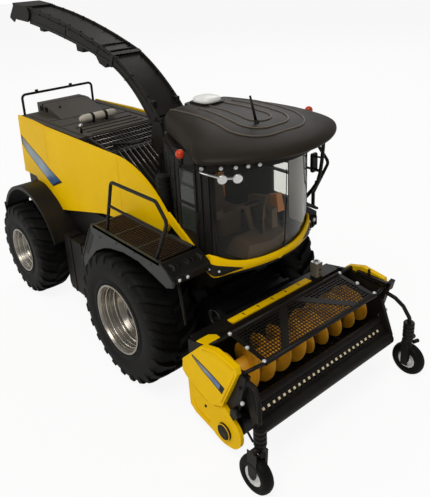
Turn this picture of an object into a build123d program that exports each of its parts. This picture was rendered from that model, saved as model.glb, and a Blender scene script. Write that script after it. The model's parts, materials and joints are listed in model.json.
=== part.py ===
"""Scale model of a self-propelled forage harvester with a windrow pick-up, at its own size.

All sizes are in millimetres. While the model is laid out, x is 0 at the front axle and runs forward,
y runs to the left and z runs up from the floor. At the end every piece is shifted along x, so that the
origin is under the middle of the whole model.
"""
from build123d import *
from collections import namedtuple
from math import atan2, cos, degrees, hypot, pi, radians, sin
import os

os.makedirs("parts", exist_ok=True)

# Clearances
RUN = 0.05  # radial, between a shaft and its bore
GAP = 0.3  # between pieces of different bodies that pass each other
SEAT = 0.02  # between pieces of one body with round faces
ARCH_CLEAR = 2.0  # between a tyre and the body round it

# Wheels: radius over the lugs, tyre width, rim radius, y of the outer face, x of the axle
Wheel = namedtuple("Wheel", "radius width rim face x lugs lug_height dish")
WHEELBASE = 111.0
FRONT = Wheel(radius=32.5, width=24.0, rim=17.0, face=51.4, x=0.0, lugs=17, lug_height=2.4, dish=11.0)
REAR = Wheel(radius=27.4, width=19.0, rim=13.2, face=49.0, x=-WHEELBASE, lugs=15, lug_height=2.0, dish=8.0)
LUG_BAR, LUG_SLANT = 0.12, 0.26  # lug thickness and slant as shares of the tyre's width
LUG_ROOT, WALL_SHARE = 3.0, 0.6  # how deep a lug sits in the carcass; where its side wall is widest
LUG_START, LUG_HEEL, LUG_DROP, LUG_EASE = 0.4, 1.2, 2.6, 0.3
SHOULDER, BEAD_STEP = 2.2, 0.8
RIM_WALL, RIM_DISC, RIM_LIP, RIM_STEP, RIM_EDGE, RIM_FLARE = 1.4, 1.6, 0.9, 1.6, 0.4, 1.4
DISC_FLAT, DISC_RING, DISC_OUT, DISC_BACK, HUB_DRAFT = 4.0, 3.0, 2.4, 1.0, 0.8
HUB_R, HUB_LENGTH = 5.0, 3.0
WHEEL_BOLT_COUNT, BOLT_RING, BOLT_HEAD_R, BOLT_HEAD_T = 8, 2.2, 0.7, 0.6
SPINDLE_R, SPINDLE_PAST = 2.6, 5.0

# Steering: kingpins, arms behind them and the tie rod below the arms
BEAM_BELOW, BEAM_ABOVE, REAR_BEAM_DEPTH = 3.4, 3.6, 7.0  # rear beam about its axle line
KINGPIN_Y, KINGPIN_R = 26.0, 1.6
KNUCKLE_EYE_R = 3.8
KNUCKLE_HALF, KNUCKLE_PLATE = 4.0, 1.7
STEER_ARM, ARM_ROOT_X, ARM_ROOT_Y = 12.0, 3.0, 2.5
TIE_PIN_R, TIE_ROD_T, TIE_EYE_R, TIE_ROD_W = 0.8, 1.4, 1.8, 2.0

# Chassis rails and the axles under them
RAIL_IN, RAIL_OUT = 11.0, 15.0
RAIL_ABOVE_BEAM, RAIL_DEPTH = 5.0, 10.0
RAIL_REAR, RAIL_FRONT = -134.0, 24.0
CROSS_WIDTH = 4.0
CROSS_AT = (-134.0, -113.0, -62.0, -30.0, -2.0)
FRONT_BEAM, FRONT_BEAM_HALF = 9.0, 23.0
HUB_FLANGE_R, HUB_FLANGE_T, HUB_BOSS_R = 8.0, 3.0, 6.5
PIVOT_BLOCK_HALF = 5.0
WEIGHT_HALF, WEIGHT_EDGE = 22.0, ((0.0, -6.0), (-4.5, -3.0), (-4.5, 9.0), (0.0, 11.0))
HITCH_HALF, HITCH_DEPTH, HITCH_EAR, HITCH_BELOW = 3.0, 9.0, 3.0, 5.0  # clevis behind the rails
HITCH_REACH, HITCH_PIN, HITCH_BORE_R, HITCH_WEB = 7.0, 4.5, 0.9, 1.6

# Body: core between the side panels, its deck and its sloping front
CORE_REAR, CORE_FRONT, CORE_IN, CORE_LAP = -136.0, -10.0, 3.5, 1.0
DECK_Z, DECK_T = 99.8, 1.8
WELL_REAR, WELL_FRONT, WELL_CLEAR = -88.0, -82.0, 3.2  # hollow for the steered wheels
PANEL_T, PANEL_OUT, PANEL_ABOVE_DECK, PANEL_CORNER = 2.0, 2.0, 2.2, 1.5
SEAM_X, SEAM_GAP, SEAM_BRIDGE = -97.0, 0.3, 1.2
SEAM_2_X, SEAM_2_DEPTH = -20.5, 0.4
PANEL_REAR_X, PANEL_REAR_IN = -138.5, 3.0
PANEL_FRONT_EDGE = (  # x, and z below the panel's top
    (-24.0, -0.6), ((-1.0, -6.0), (14.6, -18.0)), ((16.2, -25.0), (11.2, -29.5)), (-14.4, -31.6), (-39.2, -34.8),
)
PANEL_DEPTH = 49.4
PANEL_REAR_DEPTH, PANEL_FOOT_LEAN, PANEL_ARCH = 37.0, 3.0, ((-122.0, -35.5), (-112.0, -41.0))
SKIRT = ((-88.0, 58.0), (-88.0, 48.0), (-74.0, 38.0), (-44.0, 38.0), (-34.0, 46.0), (-34.0, 64.0), (-60.0, 62.0))
SCREEN_TOP_X, SCREEN_BEND_X, SCREEN_END_X = -62.0, -40.0, -13.0
SCREEN_BEND_DROP, SCREEN_END_DROP, CORE_NOSE_DROP = 3.5, 19.5, 6.3
SCREEN_HALF, SCREEN_T, SCREEN_EDGE, SCREEN_INSET = 22.0, 1.2, 1.4, 0.12
UPPER_PITCH, UPPER_BAR, LOWER_PITCH, LOWER_BAR = 2.0, 0.5, 2.8, 0.9
DECK_RIBS, DECK_RIB_HALF, DECK_RIB_W, DECK_RIB_H = (-82.0, -76.0, -70.0, -64.5), 18.0, 1.2, 0.5
DECK_EDGE_REAR, DECK_EDGE_Y, DECK_EDGE_W = -130.0, 22.5, 1.0
HOOD = ((-136.0, 0.0), (-136.0, 5.9), (-124.0, 5.9), (-105.0, 0.3), (-105.0, 0.0))  # x, z above the deck
HOOD_HALF, HOOD_VENTS = 14.5, (-133.0, -126.5)
VENT_W, VENT_H, VENT_FOOT, VENT_DEPTH = 5.0, 3.4, 1.0, 1.9
KNOB_AT, KNOB_R, KNOB_POST_R, KNOB_POST = (-70.0, -20.8), 1.1, 0.5, 3.6
TANK_X, TANK_Y, TANK_R, TANK_HALF, TANK_LIFT = -86.0, -1.0, 2.4, 12.0, 2.9
TANK_END = ((0.0, 0.0), (0.4, 0.5), (1.4, 0.83), (3.0, 1.0))  # from its end, and share of its radius
STRAP_Y, STRAP_HALF, STRAP_T = 4.2, 0.7, 0.3
REAR_RAIL_X, REAR_RAIL_Y, REAR_RAIL_HIGH, REAR_RAIL_BEND = -135.2, 23.7, 12.1, 2.4
RAIL_HOOKS, HOOK_HALF, HOOK_HIGH = (-14.0, 9.0), 0.9, 1.8
WIRE_R = 0.75

# Rear fenders round the steered wheels
FENDER_BACK, FENDER_UP = 1.0, 0.6
FENDER_CLEAR, FENDER_T = 9.8, 1.2
FENDER_OUT, FENDER_LIP = 42.0, 1.0
FENDER_FROM, FENDER_TO = 20.0, 152.0

# Platforms beside the cab
PLATFORM_ABOVE_TYRE, PLATFORM_T = 10.0, 1.4
PLATFORM_REAR, PLATFORM_FRONT = -16.0, 36.0
PLATFORM_OUT, PLATFORM_GAP = 49.0, 0.5
GRATE_SLOT_COUNT, GRATE_PITCH, GRATE_SLOT, GRATE_EDGE, GRATE_RIM = 9, 5.4, 4.0, 3.0, 4.0
APRON_T = 1.6
APRON = (  # x, and z below the platform's top, from its front top corner round to the arch's rear foot
    (36.0, 0.0), (44.0, -8.0), (42.0, -12.0), (33.0, -12.0), (0.0, -25.0), (-24.0, -29.0), (-31.0, -29.0),
    (-31.0, -25.0),
)
NOSE = ((34.0, 0.0), (36.0, 0.0), (44.0, -3.0), (44.0, -8.0), (40.0, -10.0), (40.0, -5.0), (34.0, -3.0))
NOSE_LAMPS, NOSE_LAMP_R, NOSE_LAMP_T, NOSE_LAMP_DROP = (-45.6, -41.6), 1.3, 1.2, 5.4
STRUT_Y, STRUT_R, STRUT_TOP, STRUT_FOOT = 44.0, 0.7, (41.0, -9.0), (44.2, -26.8)
SHELF_X, SHELF_END, SHELF_DEPTH = 17.5, 29.0, 2.0
HANDRAIL_Y, HANDRAIL_BEND, HANDRAIL_SEAT = 47.0, 2.6, 0.25
HANDRAIL = ((-6.0, 0.0), (2.0, 24.5), (34.5, 25.0), (41.0, 18.0), (32.0, 0.0))  # x, z above the platform
MID_BAR = ((-1.8, 12.6), (38.6, 12.2))

# Cab
FLOOR_DROP, FLOOR_T, CAB_HEIGHT = 8.0, 3.0, 47.5
CAB_REAR_X, CAB_REAR_HALF = 0.0, 16.5
CAB_SIDE_X, CAB_HALF = 22.5, 28.0
CAB_PILLAR_X, CAB_NOSE_X = 44.5, 53.0
CAB_WALL, GLASS_T, GLASS_FIT, GLASS_INSET, PILLAR_EDGE = 1.4, 0.9, 0.1, 0.2, 0.4
CAB_BASE_HALF, CAB_BASE_X, CAB_BASE = 22.0, 42.0, ((34.0, 6.0), (24.0, 4.0))  # x, z above the rails
HEADER_BAND, SILL, SIDE_HEAD, SIDE_SILL = 3.0, 1.2, 8.0, 13.0
SIDE_WINDOW_REAR, SIDE_WINDOW_FRONT, SIDE_BAR_Z, SIDE_BAR = 1.8, 10.5, 24.2, 1.2
REAR_WINDOW_HALF, REAR_WINDOW_SILL = 12.0, 17.0
ROOF = (  # height above the cab, rear x and y, side x and y, wing x and y, nose x
    (0.0, 0.5, 15.5, 34.0, 29.0, 47.5, 35.5, 65.0),
    (1.2, 0.0, 16.2, 35.0, 30.2, 50.0, 37.6, 68.5),
    (2.8, 0.0, 16.5, 35.5, 30.5, 50.5, 38.4, 69.0),
    (5.0, 0.0, 16.6, 34.5, 29.8, 48.0, 35.8, 66.0),
    (7.6, 0.4, 16.4, 32.0, 27.4, 43.0, 30.0, 58.5),
    (9.6, 2.0, 15.4, 29.0, 23.6, 38.0, 24.0, 50.0),
    (11.0, 5.0, 13.0, 26.0, 18.0, 33.0, 17.0, 40.0),
    (11.7, 9.0, 10.0, 22.0, 12.0, 27.0, 11.0, 31.0),
)
WING_BACK, WING_IN = 3.0, 0.6
DOME_AT, DOME_BASE_R, DOME_BASE_T, DOME_SINK = (11.0, 0.0), 6.6, 0.8, 2.6
DOME_R, DOME_TOP_R, DOME_H = 5.8, 4.2, 2.4
ANTENNA_R, ANTENNA_Y, ANTENNA_FOOT, ANTENNA_TIP = 0.35, -5.0, (47.0, 8.5), (43.6, 20.2)
LAMP_BAR_END, LAMP_BAR_HALF, LAMP_BAR_NOSE, LAMP_BAR_T, LAMP_BAR_H = 44.0, 34.0, 61.0, 1.4, 3.6
LAMP_AT, LAMP_R, LAMP_T, LAMP_DROP = (10.5, 16.0, 21.5, 26.5, 31.5), 1.25, 1.2, 1.9
BEACON_AT, BEACON_R, BEACON_POST_R, BEACON_SEAT = (37.7, 36.4), 1.9, 0.9, 1.0
BRACKET_R, BRACKET_IN, BRACKET_DROP = 0.8, (0.3, 1.1), 0.7  # beacon bracket at the bar's end
ROUND_MIRRORS = ((58.8, -34.2), (62.2, -29.9))
MIRROR_R, MIRROR_T, MIRROR_ROD_R, MIRROR_DROP = 1.7, 1.0, 0.45, 2.5
MIRROR_TURN, MIRROR_TILT, ROD_STEP, ROD_BEND = 0.5, 0.2, (1.6, 1.9), 1.0
ARM_END_X, ARM_END_Y, ARM_DROP = 45.49, 32.86, 2.7
LOOP_ARM = ((47.3, 35.05, -2.7), (46.0, 36.0, -17.0), (43.8, 36.0, -27.4), (35.0, 36.0, -39.15))
LOOP_R, LOOP_HEAD, LOOP_STAYS = 0.6, (42.0, 1.4, 3.6, 9.0, -23.0), ((-15.5, 46.0), (-21.5, 45.0))

# Belt under the windscreen: its outline seen from the side, x and z above the cab's floor
BELT_T, BELT_BACK_X = 1.2, 37.6
BELT_EDGE = (
    (37.6, 2.2), (43.0, 5.2), (46.6, 3.2), (55.0, 2.2), (55.0, -2.2), (50.0, -3.0), (47.0, -6.0), (44.0, -6.4),
    (40.6, -3.6),
)
FLASH_EDGE = ((16.9, 18.2), (35.2, 6.2), (34.4, 4.2), (16.9, 13.1))  # strip beside the cab

# Cab fittings: x and z above the cab's floor
SEAT_BOX, SEAT_HALF, SEAT_Z = (12.0, 24.0), 6.0, 9.0
SEAT_EDGE = ((11.0, 9.0), (8.0, 29.0), (11.0, 30.0), (14.5, 12.0), (25.0, 12.0), (25.0, 9.0))
CONSOLE = ((14.0, 27.0), (-10.5, -7.0), (11.0, 15.0))
CONSOLE_LEG = ((16.0, 20.0), (-10.0, -6.0))
COLUMN_FOOT_X, COLUMN_TOP, COLUMN_R, STEERING_R, STEERING_T = 40.0, (34.0, 17.0), 1.3, 5.4, 0.9
CUSHION_IN, WHEEL_GRIP, SPOKE_W, WHEEL_HUB_R = 0.5, 1.1, 1.0, 1.5

# Intake stack between the side panel's nose and the cab's slanted corner
STACK_X, STACK_IN, STACK_R = 8.0, 2.0, 3.1
STACK_HEIGHT, STACK_RIBS, STACK_RIB, STACK_RIB_HALF = 23.0, (6.0, 3.5, 1.0), 0.3, 0.5
STACK_SHELF_T, STACK_SHELF_OUT = 3.0, 1.4

# Spout: outline in x and z about the boom's pivot
TURRET_X, TURRET_R, TURRET_T, TURRET_ABOVE_DECK = -14.0, 11.0, 4.0, 0.5
SPIGOT_R, SPIGOT, PEDESTAL_IN = 4.0, 6.0, 2.0
BOOM_BACK, BOOM_UP, BOOM_HALF, BOOM_PIN_R = 1.0, 11.7, 8.0, 1.5
BOOM_TOP = ((6.5, -4.5), ((-10.6, 13.6), (-37.0, 30.4)), ((-81.0, 42.4), (-128.5, 50.1)))
BOOM_UNDER = ((-128.5, 41.4), ((-87.0, 35.6), (-43.0, 26.6)), ((-20.6, 14.4), (-3.6, -6.4)))
FLANGE_T, FLANGE_UP = 0.8, 0.8
COLLARS, COLLAR_W, COLLAR_OUT = ((-37.5, 28.0, 26.0), (-4.0, 4.0, 50.0)), 2.4, 0.5  # x, z and lean
CHEEK_T, CHEEK = 1.6, ((-6.0, -9.7), (-3.0, 3.0), (3.0, 3.0), (7.0, -9.7))
BOOM_BRACKETS = (  # half width and outline
    (3.0, ((-127.0, 42.4), (-126.4, 36.8), (-121.4, 36.4), (-121.0, 42.0))),
    (3.4, ((-82.6, 36.0), (-81.6, 28.4), (-75.0, 28.0), (-73.6, 34.6))),
    (2.6, ((-67.0, 32.6), (-60.0, 23.4), (-54.0, 21.6), (-47.0, 28.6))),
)
LIFT_FOOT, LIFT_EYE = (-11.0, -6.0), (-31.0, 19.0)
LIFT_BARREL_R, LIFT_NECK_R, LIFT_FOOT_R, LIFT_HINGE_R, LIFT_ROD_R = 1.7, 1.1, 1.9, 0.9, 0.9
BARREL_FROM, BORE_FROM, ROD_FROM, BARREL_TO, ROD_SHORT = 3.8, 6.0, 10.0, 19.0, 2.6  # along the cylinder
LIFT_EAR, LIFT_EAR_GAP, EAR_LENGTH, LIFT_EYE_R, LIFT_EYE_HALF = 2.6, 1.5, 4.0, 0.8, 1.2
EYE_PLATE = ((-35.0, 25.0), (-33.5, 17.6), (-29.5, 17.0), (-26.0, 19.8))
FLAP_WALL, FLAP_PIN_R, FLAP_PIVOT, TIP_PIVOT = 0.8, 0.8, (-127.4, 48.0), (-145.6, 49.6)
FLAP_TOP = ((-129.2, 50.5), (-129.2, 51.5), (-147.4, 53.2), (-147.4, 52.2))
FLAP_SIDE = ((-125.6, 46.6), (-125.8, 49.4), (-129.2, 51.5), (-147.4, 53.2), (-145.0, 43.4), (-129.0, 42.4))
TIP_TOP = ((-147.8, 53.2), (-156.6, 45.0), (-157.0, 43.8), (-156.0, 44.2), (-147.8, 52.0))
TIP_SIDE = ((-144.4, 50.6), (-147.8, 51.0), (-147.8, 53.2), (-157.0, 43.8), (-152.0, 41.4), (-144.4, 48.0))

# Header and its parts
LIFT_PIVOT_X, LIFT_PIN_R = 18.0, 1.6
TONGUE = ((-3.0, -4.0), (-3.0, 3.5), (10.0, 3.5), (10.0, -19.0), (2.0, -15.0))
FEED_HALF, FEED_REAR, FEED_FRONT, FEED_LOW, FEED_HIGH, FEED_DROP = 20.0, 26.0, 44.8, 14.0, 42.0, 2.0
FEED_RIBS, FEED_RIB_W, FEED_RIB_H = (28.0, 34.0, 40.0), 1.2, 0.3
HEADER_HALF, END_T, BACK_T = 44.2, 1.6, 1.6
END_WALL = (
    (45.0, 12.0), (45.0, 42.0), (58.0, 44.6), (79.0, 42.4), (75.0, 27.0), (71.0, 18.0), (70.0, 4.5), (60.0, 4.5),
    (49.0, 9.0),
)
FEED_MOUTH_HALF, FEED_MOUTH_LOW, FEED_MOUTH_HIGH = 15.0, 18.0, 36.0
PAN = ((46.4, 14.0), (46.4, 18.0), ((54.0, 17.4), (57.6, 13.0)), (56.6, 12.0), ((52.0, 15.0), (47.4, 14.0)))
TOP_BEAM = ((46.4, 52.0), (40.2, 43.0))
SOCKET_AT, SOCKET_HALF, SOCKET_HIGH, SOCKET_BORE_R, SOCKET_FLOOR = (49.0, 30.0), 2.9, 7.5, 1.9, 1.0
SHIELD_T, COVER_T, CAP_R, CAP_T = 2.4, 1.6, 3.6, 1.0
SHIELD = (
    (43.7, 33.2), (56.2, 45.6), (64.5, 48.0), (76.0, 46.4), (76.8, 43.6), (67.4, 23.6), (60.0, 20.0),
    (45.4, 25.4), (43.1, 27.5),
)
COVER = (
    (45.4, 25.4), (60.0, 20.0), (67.4, 23.6), (73.4, 18.8), ((76.8, 11.0), (70.4, 4.9)),
    ((66.0, 4.4), (60.6, 6.2)), (49.3, 8.7), (45.9, 11.1),
)
AUGER_AXIS, AUGER_R, AUGER_CORE_R = (62.0, 30.0), 9.6, 4.0
FLIGHT_COUNT, FLIGHT_LEAN, FLIGHT_T = 9, 16.0, 0.8
REEL_AXIS, REEL_DRUM_R, REEL_HALF, REEL_SHAFT_R = (67.6, 11.1), 5.2, 40.0, 1.4
TINE_ROW_COUNT, TINE_COUNT, TINE, TINE_OUT, TINE_ROOT, TINE_EDGE = 4, 15, 0.7, 4.2, 0.4, 3.0
GUARD_REAR, GUARD_FRONT, GUARD_HALF, GUARD_TUBE_R = (59.0, 46.2), (78.8, 43.6), 34.1, 1.0
GUARD_BAR_COUNT, GUARD_BAR, GUARD_EDGE, GUARD_BAR_H = 17, 0.7, 1.8, 0.6
GUARD_FEET = ((59.0, 46.2, 58.6, 45.8), (78.8, 43.6, 77.6, 43.6))
GUARD_FOOT_R, GUARD_FOOT_IN, GUARD_FOOT_OUT = 0.8, 33.0, 43.8
BRACE_REAR, BRACE_FRONT, BRACE_T = 2.0, 22.0, 2.0
ROLLER_AXIS, ROLLER_R = (82.3, 19.8), 2.9
ROLLER_PIVOT, ROLLER_PIVOT_R, ARM_HALF, ARM_ABOVE, ARM_BELOW, ARM_LAP = (75.0, 40.5), 1.2, 1.6, 2.0, 1.4, 0.6
WIND_BAR_AT, WIND_BAR_R, WIND_STRIP = (77.2, 27.0), 1.7, ((76.8, 26.6), (77.6, 27.4), (82.0, 21.0), (81.0, 20.4))
WIND_SLOT_COUNT, WIND_PITCH, WIND_SLOT, WIND_SLOT_Z = 26, 2.9, 1.4, (22.9, 24.7)

# Gauge wheels on castors beside the pick-up
CASTOR_X, CASTOR_Y = 88.7, 47.0
GAUGE_R, GAUGE_W, GAUGE_X, GAUGE_Y, GAUGE_SIDE_COUNT = 7.8, 5.0, 88.5, 49.1, 16
GAUGE_WALL_R, GAUGE_SHOULDER, HUB_SEAT_R, HUB_INSET = 6.2, 1.2, 4.2, 0.7
ARM_WIRE_R, ARM_BEND = 0.9, 1.5
GAUGE_ARM = ((78.9, 43.4, 40.6), (83.0, 43.4, 40.0), (86.4, 45.0, 36.4), (88.7, 47.0, 30.4), (88.7, 47.0, 27.0))
SLEEVE_R, SLEEVE_H, SLEEVE_LOW, CASTOR_PIN_R, CASTOR_PIN_UP = 2.2, 8.0, 20.4, 1.1, 4.6
SLEEVE_RIB_COUNT, SLEEVE_RIB, SLEEVE_RIB_HALF = 4, 0.3, 0.5
CROWN_T, CROWN_DROP, CROWN_LAP, LEG_T, LEG_HALF, LEG_FOOT_HALF, GAUGE_AXLE_R = 1.8, 0.8, 1.0, 1.4, 2.0, 1.4, 1.0

# Heights that follow from the sizes above
REAR_BEAM_LOW, REAR_BEAM_HIGH = REAR.radius - BEAM_BELOW, REAR.radius + BEAM_ABOVE
RAIL_LOW = REAR_BEAM_HIGH + RAIL_ABOVE_BEAM
RAIL_HIGH = RAIL_LOW + RAIL_DEPTH
WELL_TOP = 2 * REAR.radius + WELL_CLEAR
FENDER_X, FENDER_Z = REAR.x - FENDER_BACK, REAR.radius + FENDER_UP
FENDER_R = REAR.radius + FENDER_CLEAR
DECK_TOP = DECK_Z + DECK_T
PANEL_TOP = DECK_Z + PANEL_ABOVE_DECK
SCREEN_BEND_Z, SCREEN_END_Z = DECK_Z - SCREEN_BEND_DROP, DECK_Z - SCREEN_END_DROP
PLATFORM_Z = 2 * FRONT.radius + PLATFORM_ABOVE_TYRE
CAB_FLOOR = PLATFORM_Z - FLOOR_DROP
CAB_TOP = CAB_FLOOR + CAB_HEIGHT
TURRET_Z = DECK_Z + TURRET_ABOVE_DECK
BOOM_PIVOT = (TURRET_X - BOOM_BACK, TURRET_Z + BOOM_UP)
LIFT_PIVOT = (LIFT_PIVOT_X, (RAIL_LOW + RAIL_HIGH) / 2)
CORE_NOSE_Z = SCREEN_END_Z - CORE_NOSE_DROP
WINDOW_TOP = CAB_TOP - HEADER_BAND
SIDE_WINDOW_TOP = CAB_TOP - SIDE_HEAD
SIDE_BAR_LOW = CAB_FLOOR + SIDE_BAR_Z
LAMP_Z = CAB_TOP - LAMP_DROP
STACK_FOOT = PLATFORM_Z
LIFT_AT = (BOOM_PIVOT[0] + LIFT_FOOT[0], BOOM_PIVOT[1] + LIFT_FOOT[1])
LIFT_END = (BOOM_PIVOT[0] + LIFT_EYE[0], BOOM_PIVOT[1] + LIFT_EYE[1])
FLAP_AT = (BOOM_PIVOT[0] + FLAP_PIVOT[0], BOOM_PIVOT[1] + FLAP_PIVOT[1])
TIP_AT = (BOOM_PIVOT[0] + TIP_PIVOT[0], BOOM_PIVOT[1] + TIP_PIVOT[1])
BESIDE_CAB = CAB_HALF + BELT_T + 2 * SEAT
PANEL_FACE = CAB_HALF + PANEL_OUT
PANEL_REAR_Y = PANEL_FACE - PANEL_REAR_IN
CORE_HALF = PANEL_FACE - CORE_IN
STACK_Y = -CORE_HALF + STACK_IN


def outline(point, start, *runs):
    """Closed face: a run is an end point, or a point on an arc and its end point."""
    edges = []
    here = start
    for run in runs + (start,):
        arc = isinstance(run[0], tuple)
        end = run[1] if arc else run
        if arc:
            edges.append(ThreePointArc(point(*here), point(*run[0]), point(*end)))
        elif hypot(here[0] - end[0], here[1] - end[1]) > 1e-6:
            edges.append(Line(point(*here), point(*end)))
        here = end
    return make_face(edges)


def side_face(y, start, *runs):
    """Face in a plane of constant y."""
    return outline(lambda x, z: (x, y, z), start, *runs)


def slab(y_from, y_to, start, *runs):
    """Outline in x and z, extruded across the machine."""
    direction = (0, 1, 0) if y_to > y_from else (0, -1, 0)
    return extrude(side_face(y_from, start, *runs), amount=abs(y_to - y_from), dir=direction)


def plan_face(z, start, *runs):
    """Face in a plane of constant z."""
    return outline(lambda x, y: (x, y, z), start, *runs)


def plate(z_from, z_to, start, *runs):
    """Outline in x and y, extruded up."""
    return extrude(plan_face(z_from, start, *runs), amount=z_to - z_from, dir=(0, 0, 1))


def from_point(anchor, runs):
    """An outline written about an anchor point, moved to its place."""
    def moved(p):
        if isinstance(p[0], tuple):
            return tuple(moved(q) for q in p)
        return (anchor[0] + p[0], anchor[1] + p[1])

    return [moved(run) for run in runs]


def above(z, runs):
    """An outline whose heights are written above a level."""
    return from_point((0, z), runs)


def block(x_from, x_to, y_from, y_to, z_from, z_to):
    size = (x_to - x_from, y_to - y_from, z_to - z_from)
    middle = ((x_from + x_to) / 2, (y_from + y_to) / 2, (z_from + z_to) / 2)
    return Pos(*middle) * Box(*size)


def column(x, y, radius, z_from, z_to):
    """Upright cylinder."""
    return Pos(x, y, (z_from + z_to) / 2) * Cylinder(radius, z_to - z_from)


def rod(start, end, radius):
    """Round bar between two points."""
    axis = Vector(*end) - Vector(*start)
    flat = Plane(origin=start, z_dir=axis)
    return flat * Cylinder(radius, axis.length, align=(Align.CENTER, Align.CENTER, Align.MIN))


def wire(points, radius, bend):
    """Round wire along straight runs with bends of one radius."""
    path = FilletPolyline(*points, radius=bend)
    start = Plane(origin=path @ 0, z_dir=path % 0)
    return sweep(start * Circle(radius), path=path)


def turned(x, z, *profile):
    """Ring or disc turned about a cross axle: the profile holds (y, r) points."""
    points = [(x, y, z + r) for y, r in profile]
    face = make_face(Polyline(*points, close=True))
    return revolve(face, axis=Axis((x, 0, z), (0, 1, 0)), revolution_arc=360)


def disc(x, z, radius, y_from, y_to):
    """Cylinder along y."""
    return rod((x, min(y_from, y_to), z), (x, max(y_from, y_to), z), radius)


def cross_bar(x, z, radius, half):
    """Cylinder along y, of the same length to both sides."""
    return disc(x, z, radius, -half, half)


def left_of(shape):
    """The left-hand copy of a right-hand piece."""
    return mirror(shape, about=Plane.XZ)


# Wheels

def tread_radius(w):
    return w.radius - w.lug_height


def faceted_ring(sides, *profile):
    """Ring of flat facets about the axle, from the closed outline of its section as (y, radius) points."""
    def corner(i, y, radius):
        angle = 2 * pi * i / sides
        return (radius * sin(angle), y, radius * cos(angle))

    faces = []
    for i in range(sides):
        for (y0, r0), (y1, r1) in zip(profile, profile[1:] + profile[:1]):
            ring = (corner(i, y0, r0), corner(i, y1, r1), corner(i + 1, y1, r1), corner(i + 1, y0, r0))
            faces.append(make_face(Polyline(*ring, close=True)).faces()[0])
    return Solid(Shell(faces))


def tyre_lug(w):
    """One slanted lug on top of the tyre, from the middle of the tread round the right shoulder."""
    half = w.width / 2
    bar, slant = w.width * LUG_BAR, w.width * LUG_SLANT
    foot = tread_radius(w) - LUG_ROOT
    toe, heel = slant / 2 + bar / 2, -slant / 2 - bar
    footprint = plan_face(
        foot, (toe, LUG_START), (toe - bar, LUG_START), (heel, -half), (heel + bar * LUG_HEEL, -half),
    )
    blank = extrude(footprint, amount=w.lug_height + LUG_ROOT, dir=(0, 0, 1))
    peak = (w.radius ** 2 - toe ** 2) ** 0.5
    reach = w.width
    shoulder = Polyline(
        (-reach, 1.0, 0.0), (-reach, 1.0, peak), (-reach, -half + LUG_DROP, peak - LUG_EASE),
        (-reach, -half, peak - LUG_ROOT), (-reach, -half, 0.0), close=True,
    )
    return blank & extrude(make_face(shoulder), amount=2 * reach, dir=(1, 0, 0))


def tyre(w):
    """Tyre with two rows of lugs, laid with its middle on y = 0 and its axle at the origin."""
    half, tread = w.width / 2, tread_radius(w)
    seat = (w.rim + SEAT) / cos(pi / w.lugs)
    wall = seat + (tread - seat) * WALL_SHARE
    carcass = faceted_ring(
        w.lugs, (-half + BEAD_STEP, seat), (-half + BEAD_STEP, seat + BEAD_STEP), (-half, wall),
        (-half + SHOULDER, tread), (half - SHOULDER, tread), (half, wall), (half - BEAD_STEP, seat + BEAD_STEP),
        (half - BEAD_STEP, seat),
    )
    right_lug = tyre_lug(w)
    left_lug = left_of(right_lug)
    step = 360 / w.lugs
    lugs = []
    for i in range(w.lugs):
        lugs.append(Rot(0, i * step, 0) * right_lug)
        lugs.append(Rot(0, (i + 0.5) * step, 0) * left_lug)
    return carcass.fuse(*lugs)


def rim(w):
    """Deep-dish rim, its open side to the right, laid like the tyre."""
    half, seat = w.width / 2, w.rim
    lip = seat - RIM_LIP
    inner = seat - RIM_WALL
    barrel = turned(
        0, 0, (-half + RIM_EDGE, seat), (-half + RIM_EDGE, lip), (-half + RIM_FLARE, inner),
        (-half + w.dish, inner - RIM_STEP), (half - RIM_FLARE, inner), (half - RIM_EDGE, lip),
        (half - RIM_EDGE, seat),
    )
    bore = SPINDLE_R + RUN
    face = -half + w.dish
    centre = turned(
        0, 0, (face, bore), (face - HUB_LENGTH, bore), (face - HUB_LENGTH, HUB_R),
        (face, HUB_R + HUB_DRAFT), (face, inner - DISC_FLAT), (face - DISC_OUT, inner - DISC_RING),
        (face - DISC_OUT, inner - RIM_STEP), (face - DISC_BACK, inner),
        (face + RIM_DISC, inner), (face + RIM_DISC, bore),
    )
    wheel = barrel + centre
    step = 360 / WHEEL_BOLT_COUNT
    heads = []
    for i in range(WHEEL_BOLT_COUNT):
        head = disc(0, HUB_R + BOLT_RING, BOLT_HEAD_R, face - BOLT_HEAD_T, face + BOLT_HEAD_T)
        heads.append(Rot(0, i * step, 0) * head)
    return wheel.fuse(*heads)


def place_wheel(shape, w, side):
    """Put a wheel piece on its axle; side is -1 for the right and 1 for the left."""
    if side > 0:
        shape = left_of(shape)
    return Pos(w.x, side * (w.face - w.width / 2), w.radius) * shape


def spindle_end(w):
    """How far out a wheel's spindle reaches: past the back of the rim's disc."""
    return w.face - w.dish - RIM_DISC + SPINDLE_PAST


# Chassis and axles

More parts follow.
